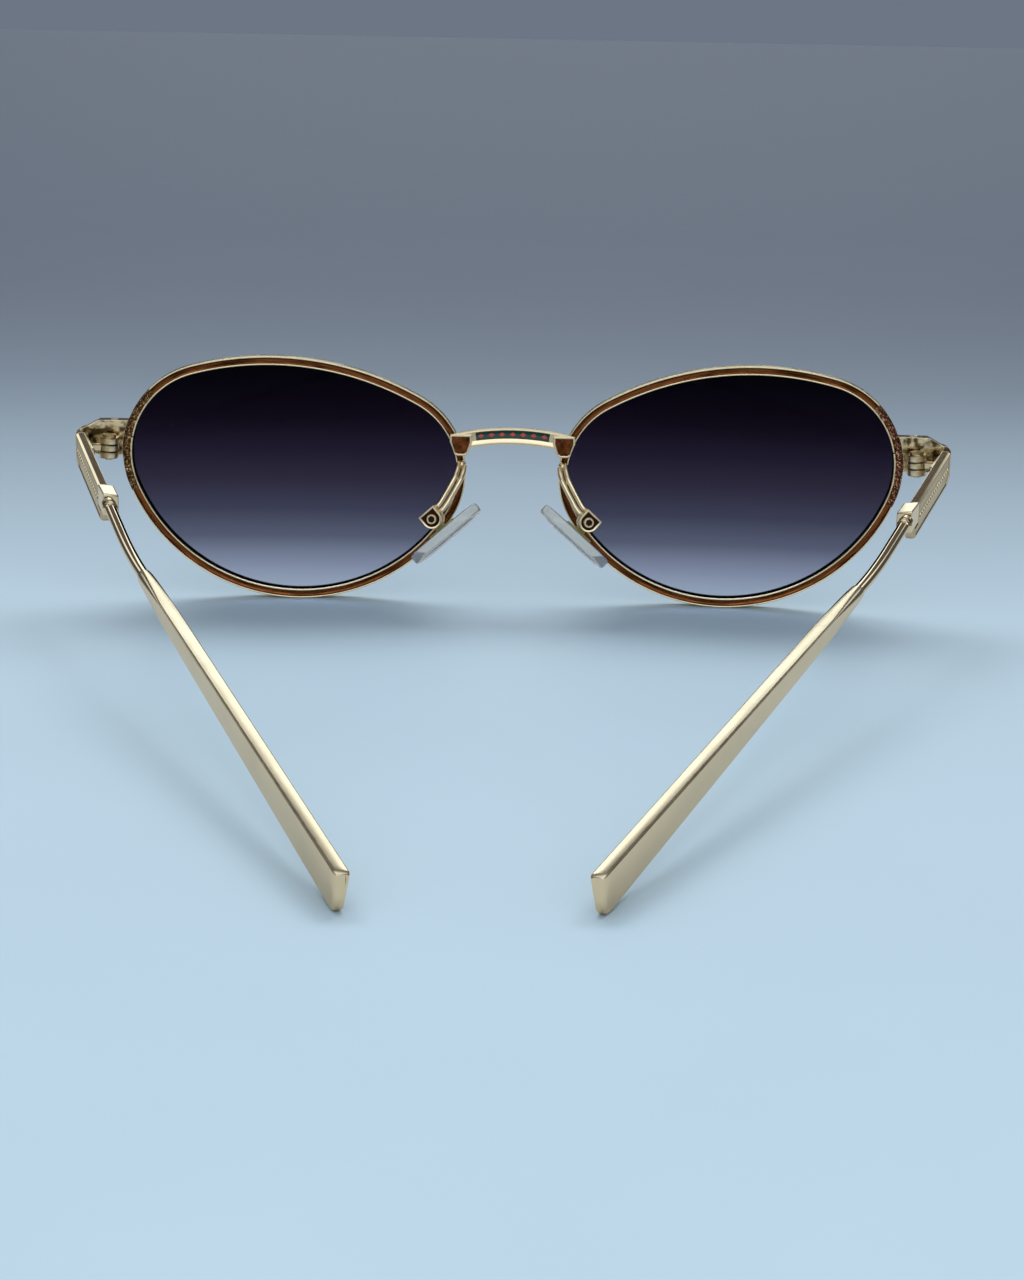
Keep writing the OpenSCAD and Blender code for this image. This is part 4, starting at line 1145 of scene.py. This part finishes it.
class GLASSES_OT_pads(bpy.types.Operator):
    """Makes the pad arms, their boxes and screws, the pads' cores and the clear pads"""

    bl_idname = "glasses.pads"
    bl_label = "Nose pads"

    def execute(self, context):
        p = layout()
        m = finishes()
        for word, side in SIDES.items():
            points, faces = self.arm(p, side)
            arm = mesh_object("pad_arm_" + word + "_wires", points, faces, [m["bright"]])
            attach(arm, "front")
            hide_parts("pad_arm_" + word)
            self.box(p, word, side, m)
            softened("pad_mount_" + word, m["core"], 0.1)
            points, faces = self.pad(p, side)
            pad = mesh_object("nose_pad_" + word + "_soft", points, faces, [m["silicone"]], sharp=60)
            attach(pad, "nose_pad_" + word)
            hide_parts("nose_pad_" + word)
        points, faces, kinds = self.screws(p)
        screws = mesh_object("pad_screws_hex", points, faces, [m["bright"], m["shadow"]], kinds)
        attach(screws, "front")
        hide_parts("pad_screws")
        return {"FINISHED"}

    def box(self, p, word, side, m):
        """The box that holds the pad's core, with a sunken field inside the border of each end,
        coloured dark brown as painted shade.
        """
        obj = softened("pad_box_" + word, m["bright"], 0.1)
        obj.data.materials[1] = m["shadow"]
        border, sunk, near_end = 0.22, 0.07, p.pad_box_half - 0.1
        axis = pad_matrix(p).to_3x3() @ Vector((0, 0, 1))
        axis.x *= side
        centre = on_pad(p, side, (0, 0, 0)) * MM
        bm = bmesh.new()
        bm.from_mesh(obj.data)
        ends = [f for f in bm.faces if abs(f.normal.dot(axis)) > 0.999
                and abs((f.calc_center_median() - centre).dot(axis)) > near_end * MM]
        bmesh.ops.inset_region(bm, faces=ends, thickness=border * MM, depth=-sunk * MM,
                               use_even_offset=True)
        for face in ends:
            face.material_index = 1
        bm.to_mesh(obj.data)
        bm.free()
        finish_mesh(obj.data, 30)
        return obj

    def screws(self, p):
        """Two round screw heads with a hexagon socket, coloured dark brown as painted shade in the
        hole, and their shanks.
        """
        low, top = p.pad_box_half, p.pad_box_half + 0.35
        shank, head, socket, count = p.pad_pin_r, 0.8, 0.5, 24
        turns = [2 * math.pi * k / count for k in range(count)]
        rings = [(shank, -low), (shank, low), (head, low), (head, top - 0.1), (head - 0.08, top),
                 (head - 0.16, top)]
        flats = [socket / math.cos((t + math.pi / 6) % (math.pi / 3) - math.pi / 6) for t in turns]
        stations = [([r] * count, z) for r, z in rings] + [(flats, top), (flats, low + 0.08)]
        parts, kinds = [], []
        for side in SIDES.values():
            parts.append(skin([[on_pad(p, side, (r * math.cos(t), r * math.sin(t), z))
                                for r, t in zip(radii, turns)] for radii, z in stations]))
            kinds += [0] * (len(rings) * count) + [1] * count + [0, 1]
        return (*joined(parts), kinds)

    def arm(self, p, side):
        """Two wires side by side, from a round foot on the rim to the pad's box."""
        foot = Vector((p.nose_side_x - p.rim_w / 2, 0, p.eye_z + 0.2))
        foot_y = back_at(p, foot.x, foot.z)
        spread = Vector((0.46, 0, 0.2))
        places = [Vector((foot.x, foot_y + 1.0, foot.z)),
                  Vector((foot.x + 0.4, foot_y + 3, foot.z - 1.6)),
                  Vector((p.pad_screw_x - 1.7, p.pad_screw_y - 2.6, p.pad_screw_z + 2.4)),
                  Vector((p.pad_screw_x - 0.6, p.pad_screw_y - p.pad_box_half - 0.45,
                          p.pad_screw_z + 1.0))]
        parts = []
        for k in (-1, 1):
            path = curve_through([on_front(p, side, q + spread * k) for q in places], 12)
            parts.append(tube(path, [p.arm_r] * len(path), 16, Vector((0, 1, 0))))
        base = on_front(p, side, (foot.x, foot_y + 0.04, foot.z))
        tip = on_front(p, side, (foot.x, foot_y + 1.15, foot.z))
        path = [base.lerp(tip, k / 8) for k in range(9)]
        radii = [0.72, 0.72, 0.70, 0.66, 0.62, 0.60, 0.56, 0.46, 0.25]
        parts.append(tube(path, radii, 24))
        return joined(parts)

    def pad(self, p, side):
        """A long soft plate with full round ends, a rounded edge and a slightly domed face."""
        w, half = p.pad_w / 2, p.pad_l / 2
        corners = [(-w, -half), (w, -half), (w, half), (-w, half)]
        x0 = p.pad_off - p.pad_t / 2
        stations = [(0.10, 2.6), (0.04, 1.4), (0.0, 0.5), (0.05, 0.2), (0.2, 0.05), (0.4, 0.0),
                    (1.25, 0.0), (1.48, 0.06), (1.64, 0.22), (1.74, 0.5), (1.86, 1.2), (1.95, 2.0),
                    (2.0, 3.0)]
        return slab(corners, w * 0.96, [(x0 + h * p.pad_t / 2, d) for h, d in stations],
                    lambda a, b, c: on_pad(p, side, (c, b, -a)), 12)


class GLASSES_OT_plates(bpy.types.Operator):
    """Makes the flat front plates of the temples with their rows of beads"""

    bl_idname = "glasses.plates"
    bl_label = "Temple plates"

    def execute(self, context):
        p = layout()
        m = finishes()
        for word, side in SIDES.items():
            points, faces = self.plate(p, side)
            obj = mesh_object("temple_plate_" + word + "_body", points, faces, [m["plate"], m["side"]],
                              sharp=35)
            # Faces that don't point up get the darker satin copy of the gold, its darkness painted
            # shade.
            for polygon in obj.data.polygons:
                polygon.material_index = 0 if polygon.normal.z > 0.5 else 1
            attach(keep_flat(obj), "temple_" + word)
            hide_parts("temple_plate_" + word)
            points, faces = self.beads(p, side)
            obj = mesh_object("temple_plate_" + word + "_beads", points, faces, [m["gold"]], sharp=60)
            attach(obj, "temple_" + word)
        return {"FINISHED"}

    def plate(self, p, side):
        """A plate with a notch for the ferrule and a raised border round its outer face."""

        def top(s):
            return temple_top(p, s)

        front, end = p.plate_front, p.plate_l
        notch = p.ferrule_at - CLEARANCE
        corners = [(front, top(front)), (notch, top(notch)),
                   (notch, top(notch) - p.ferrule_h - CLEARANCE),
                   (end, top(end) - p.ferrule_h - CLEARANCE), (end, top(end) - p.plate_h),
                   (front + 2, top(front + 2) - p.plate_h), (front, top(front) - p.plate_h + 0.6)]
        x0, x1 = p.plate_out - p.plate_t, p.plate_out
        stations = edge_stations(x0, x1, 0.14)[:5]
        stations += [(x1 - 0.46, 0.0), (x1 - 0.42, 0.01), (x1 - 0.38, 0.035), (x1 - 0.08, 0.22),
                     (x1 - 0.04, 0.25), (x1 - 0.01, 0.30), (x1, 0.36), (x1, 0.50), (x1 - 0.02, 0.56),
                     (x1 - 0.13, 0.60), (x1 - 0.15, 0.66)]
        return slab(corners, [0.5, 0.05, 0.05, 0.1, 2.0, 0.8, 0.8], stations,
                    lambda s, z, x: on_temple(p, side, (x, s, z)), 8)

    def beads(self, p, side):
        """A row of half round beads on the plate's sunken outer face."""
        sunk, rooted, row, count = 0.15, 0.02, 2.4, 14
        floor = p.plate_out - sunk - rooted
        turns = [2 * math.pi * k / count for k in range(count)]
        parts = []
        s, last = p.plate_front + 1.6, p.plate_l - 1.8
        while s <= last:
            z = temple_top(p, s) - row
            rings = []
            for a in (0.0, 0.3, 0.6, 0.9, 1.2, 1.45):
                r, x = p.bead_r * math.cos(a), floor + p.bead_r * math.sin(a)
                rings.append([on_temple(p, side, (x, s + r * math.cos(t), z + r * math.sin(t)))
                              for t in turns])
            parts.append(skin(rings))
            s += p.bead_pitch
        return joined(parts)


class GLASSES_OT_rods(bpy.types.Operator):
    """Makes the ferrule blocks and the rods with their collar, ball and bend"""

    bl_idname = "glasses.rods"
    bl_label = "Ferrules and rods"

    def execute(self, context):
        p = layout()
        m = finishes()
        for word, side in SIDES.items():
            points, faces = self.ferrule(p, side)
            obj = mesh_object("ferrule_" + word + "_block", points, faces, [m["temple"]])
            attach(keep_flat(obj), "temple_" + word)
            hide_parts("ferrule_" + word)
            points, faces, kinds = self.rod(p, side)
            obj = mesh_object("temple_rod_" + word + "_bar", points, faces,
                              [m["plate"], m["gold"], m["shadow"]], kinds)
            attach(obj, "temple_" + word)
            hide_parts("temple_rod_" + word)
        return {"FINISHED"}

    def ferrule(self, p, side):
        """A block with round edges, proud of the plate, whose top leans to the inner side."""
        proud, lean, lean_from, lean_run = 0.15, 0.16, 0.8, 0.95
        a, b = p.ferrule_at, p.ferrule_end
        corners = [(a, temple_top(p, a) + proud), (b, temple_top(p, b) + 3 * proud),
                   (b, temple_top(p, b) - p.ferrule_h), (a, temple_top(p, a) - p.ferrule_h)]

        def place(s, z, x):
            height = max(0.0, min(1.0, (z - temple_top(p, s) + lean_from) / lean_run))
            return on_temple(p, side, (x, s, z - lean * (p.plate_out - 0.3 - x) * height))

        return slab(corners, 0.3, edge_stations(p.plate_out - p.ferrule_w, p.plate_out, 0.22, 5), place)

    def line(self, p, s):
        """The rod's middle line, before the temple is folded."""
        return Vector((temple_mid(p, s), s, temple_top(p, s) - p.rod_drop))

    def rod(self, p, side):
        """Points, faces and finishes of the rod, from inside the ferrule over its collar, ball and
        bend to inside the sleeve."""
        bar, bright, groove = range(3)
        e, r = p.ferrule_end, p.rod_r
        neck, core, core_l, sides = r - 0.2, 0.55, 30, 28
        # The neck at the ferrule and the cut between collar and ball are dark brown: painted shade in
        # the grooves.
        collar = [(-2.2, neck, groove), (0.28, neck, groove), (0.30, r + 0.10, bright),
                  (0.36, r + 0.19, bright), (1.05, r + 0.245, bright), (1.15, r + 0.17, groove)]
        ball = [(1.18, r, groove), (1.32, r, bright), (1.36, r + 0.12, bright),
                (1.46, r + 0.20, bright), (2.10, r + 0.25, bright), (2.30, r + 0.20, bright),
                (2.42, r + 0.08, bright), (2.50, r, bar), (2.80, r, bar)]
        path = [(self.line(p, e + s), w) for s, w, _ in collar + ball]
        straight = e + 2.8
        start, end = p.bend_at - p.bend_half, p.bend_at + p.bend_half
        path += [(self.line(p, straight + (start - straight) * k / 6), r) for k in range(1, 7)]
        a, b, c = self.line(p, start), self.line(p, p.bend_at), self.line(p, end)
        for t in (k / 16 for k in range(1, 17)):
            path.append((a * (1 - t) ** 2 + b * 2 * t * (1 - t) + c * t * t, r))
        path += [(self.line(p, p.sleeve_at - CLEARANCE), r), (self.line(p, p.sleeve_at), core),
                 (self.line(p, p.sleeve_at + core_l), core)]
        points, faces = tube([on_temple(p, side, q) for q, _ in path], [w for _, w in path], sides)
        kinds = [kind for _, _, kind in collar + ball for _ in range(sides)]
        return points, faces, kinds + [bar] * (len(faces) - len(kinds))


class GLASSES_OT_sleeves(bpy.types.Operator):
    """Makes the tip sleeves, which grow taller to a squared end"""

    bl_idname = "glasses.sleeves"
    bl_label = "Tip sleeves"

    def execute(self, context):
        p = layout()
        m = finishes()
        for word, side in SIDES.items():
            points, faces = self.sleeve(p, side)
            obj = mesh_object("temple_sleeve_" + word + "_body", points, faces, [m["temple"]], sharp=45)
            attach(obj, "temple_" + word)
            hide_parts("temple_sleeve_" + word)
        return {"FINISHED"}

    def section(self, p, s):
        """Lowest and highest point, half width and middle of the sleeve at a place."""
        a, b, e = p.sleeve_start, p.sleeve_full, p.temple_l
        mid_a, mid_b = temple_top(p, a) - p.rod_drop, temple_top(p, b) - p.rod_drop
        if s < b:
            start_w = p.rod_r + 0.15
            t = math.sqrt(max(0.0, 1 - ((b - s) / (b - a)) ** 2))
            half = start_w + (p.sleeve_h / 2 - start_w) * t
            mid = mid_a + (mid_b - mid_a) * (s - a) / (b - a)
            wide = start_w + (p.sleeve_w / 2 - start_w) * t
            return mid - half, mid + half, wide, temple_mid(p, s)
        before_end = e - 0.5
        top_b = mid_b + p.sleeve_h / 2
        top = top_b + (temple_top(p, before_end) - top_b) * (s - b) / (before_end - b)
        heel = p.tip_heel
        low = (mid_b - p.sleeve_h / 2) * (1 - (s - b) / (e - heel - b))
        if s > e - heel:
            low = heel * 0.8 * (1 - math.sqrt(max(0.0, 1 - ((s - e + heel) / heel) ** 2)))
        wide = p.sleeve_w / 2 + (p.tip_w - p.sleeve_w) / 2 * (s - b) / (e - b)
        return low, top, wide, temple_mid(p, s)

    def sleeve(self, p, side):
        """The sleeve from its sections, each at a distance from the pin and drawn in a little."""
        a, b, e = p.sleeve_start, p.sleeve_full, p.temple_l
        end_l, end_in, low_in, top_in, grow_l = 0.8, 0.4, 1.6, 0.6, 14
        stations = [(a, 0.25)]
        stations += [(a + (b - a) * t, 0) for t in (0.02, 0.06, 0.12, 0.2, 0.32, 0.5, 0.75)]
        stations += [(b + (e - p.tip_heel - b) * k / 30, 0) for k in range(31)]
        stations += [(e - end_l * (1 - math.sin(t)), end_in * (1 - math.cos(t)))
                     for t in (0.05, 0.3, 0.55, 0.8, 1.0, 1.2, 1.35, 1.45, math.pi / 2)]
        rings = []
        for s, d in stations:
            low, top, wide, mid = self.section(p, min(s, e))
            grow = min(1.0, max(0.0, (s - a) / grow_l))
            along = (s - a) / (e - a)
            ring = self.ring(low + low_in * d, top - top_in * d, wide - d, mid, grow, along)
            rings.append([on_temple(p, side, (x, s, z)) for x, z in ring])
        return skin(rings)

    def ring(self, low, top, wide, mid, grow, along):
        """A round section that grows into a tall one: a crowned top that leans to the inner side,
        beside it a narrow band that leans outwards, and an inner side that draws in at the bottom."""
        k = min(1.0, wide / 0.9)
        band = 0.12 + 0.16 * along
        tuck = 0.75 * wide * along
        low_r = min(0.35, wide * 0.5)
        turns = [math.radians(v) for v in (90, 22, 12, 2, -15, -90)]
        sines = [math.sin(v) for v in turns]
        radii = [0.14 * k, band * k / (sines[1] - sines[2]), 0.06 * k, 0, 0.3 * k]
        taken = sum(r * (sines[i] - sines[i + 1]) for i, r in enumerate(radii))
        radii[3] = (2 * wide - taken) / (sines[3] - sines[4])
        arcs = [(Vector((mid + wide - low_r, low + low_r)), low_r, math.pi, math.pi / 2, 5)]
        at = Vector((mid + wide, 0))
        for i, n in enumerate((7, 4, 3, 8, 7)):
            r, t0, t1 = radii[i], turns[i], turns[i + 1]
            centre = at - Vector((math.sin(t0), math.cos(t0))) * r
            at = centre + Vector((math.sin(t1), math.cos(t1))) * r
            arcs.append((centre, r, t0, t1, n))
        lift = top - arcs[4][0].y - arcs[4][1]
        arcs[1:] = [(c + Vector((0, lift)), r, t0, t1, n) for c, r, t0, t1, n in arcs[1:]]
        low_c = Vector((mid - wide + low_r + tuck, low + low_r))
        arcs.append((low_c, low_r, -math.pi / 2, -math.pi, 5))
        out = []
        for centre, r, t0, t1, n in arcs:
            for j in range(n):
                t = t0 + (t1 - t0) * j / (n - 1)
                over = Vector((math.sin(t), math.cos(t)))
                round_ = Vector((mid + wide * over.x, (low + top) / 2 + (top - low) / 2 * over.y))
                out.append(round_.lerp(centre + over * r, grow))
        return out


OPERATORS = [GLASSES_OT_stage, GLASSES_OT_rims, GLASSES_OT_lenses, GLASSES_OT_bridge, GLASSES_OT_hinges,
             GLASSES_OT_pads, GLASSES_OT_plates, GLASSES_OT_rods, GLASSES_OT_sleeves]


class GLASSES_PT_panel(bpy.types.Panel):
    """Lists the sizes and the pieces of the sunglasses"""

    bl_idname = "GLASSES_PT_panel"
    bl_label = "Oval sunglasses"
    bl_space_type = "VIEW_3D"
    bl_region_type = "UI"
    bl_category = "Sunglasses"

    def draw(self, context):
        for name in GROUPS:
            group = getattr(context.scene, name)
            box = self.layout.box()
            for prop in group.bl_rna.properties:
                if prop.identifier not in {"rna_type", "name"}:
                    box.prop(group, prop.identifier)
        for operator in OPERATORS:
            self.layout.operator(operator.bl_idname)


def register():
    for cls in [*GROUPS.values(), *OPERATORS, GLASSES_PT_panel]:
        bpy.utils.register_class(cls)
    for name, cls in GROUPS.items():
        setattr(bpy.types.Scene, name, bpy.props.PointerProperty(type=cls))


def unregister():
    for name in GROUPS:
        delattr(bpy.types.Scene, name)
    for cls in reversed([*GROUPS.values(), *OPERATORS, GLASSES_PT_panel]):
        bpy.utils.unregister_class(cls)


def main():
    register()
    bpy.ops.glasses.stage()
    bpy.ops.glasses.rims()
    bpy.ops.glasses.lenses()
    bpy.ops.glasses.bridge()
    bpy.ops.glasses.hinges()
    bpy.ops.glasses.pads()
    bpy.ops.glasses.plates()
    bpy.ops.glasses.rods()
    bpy.ops.glasses.sleeves()


if __name__ == "__main__":
    main()
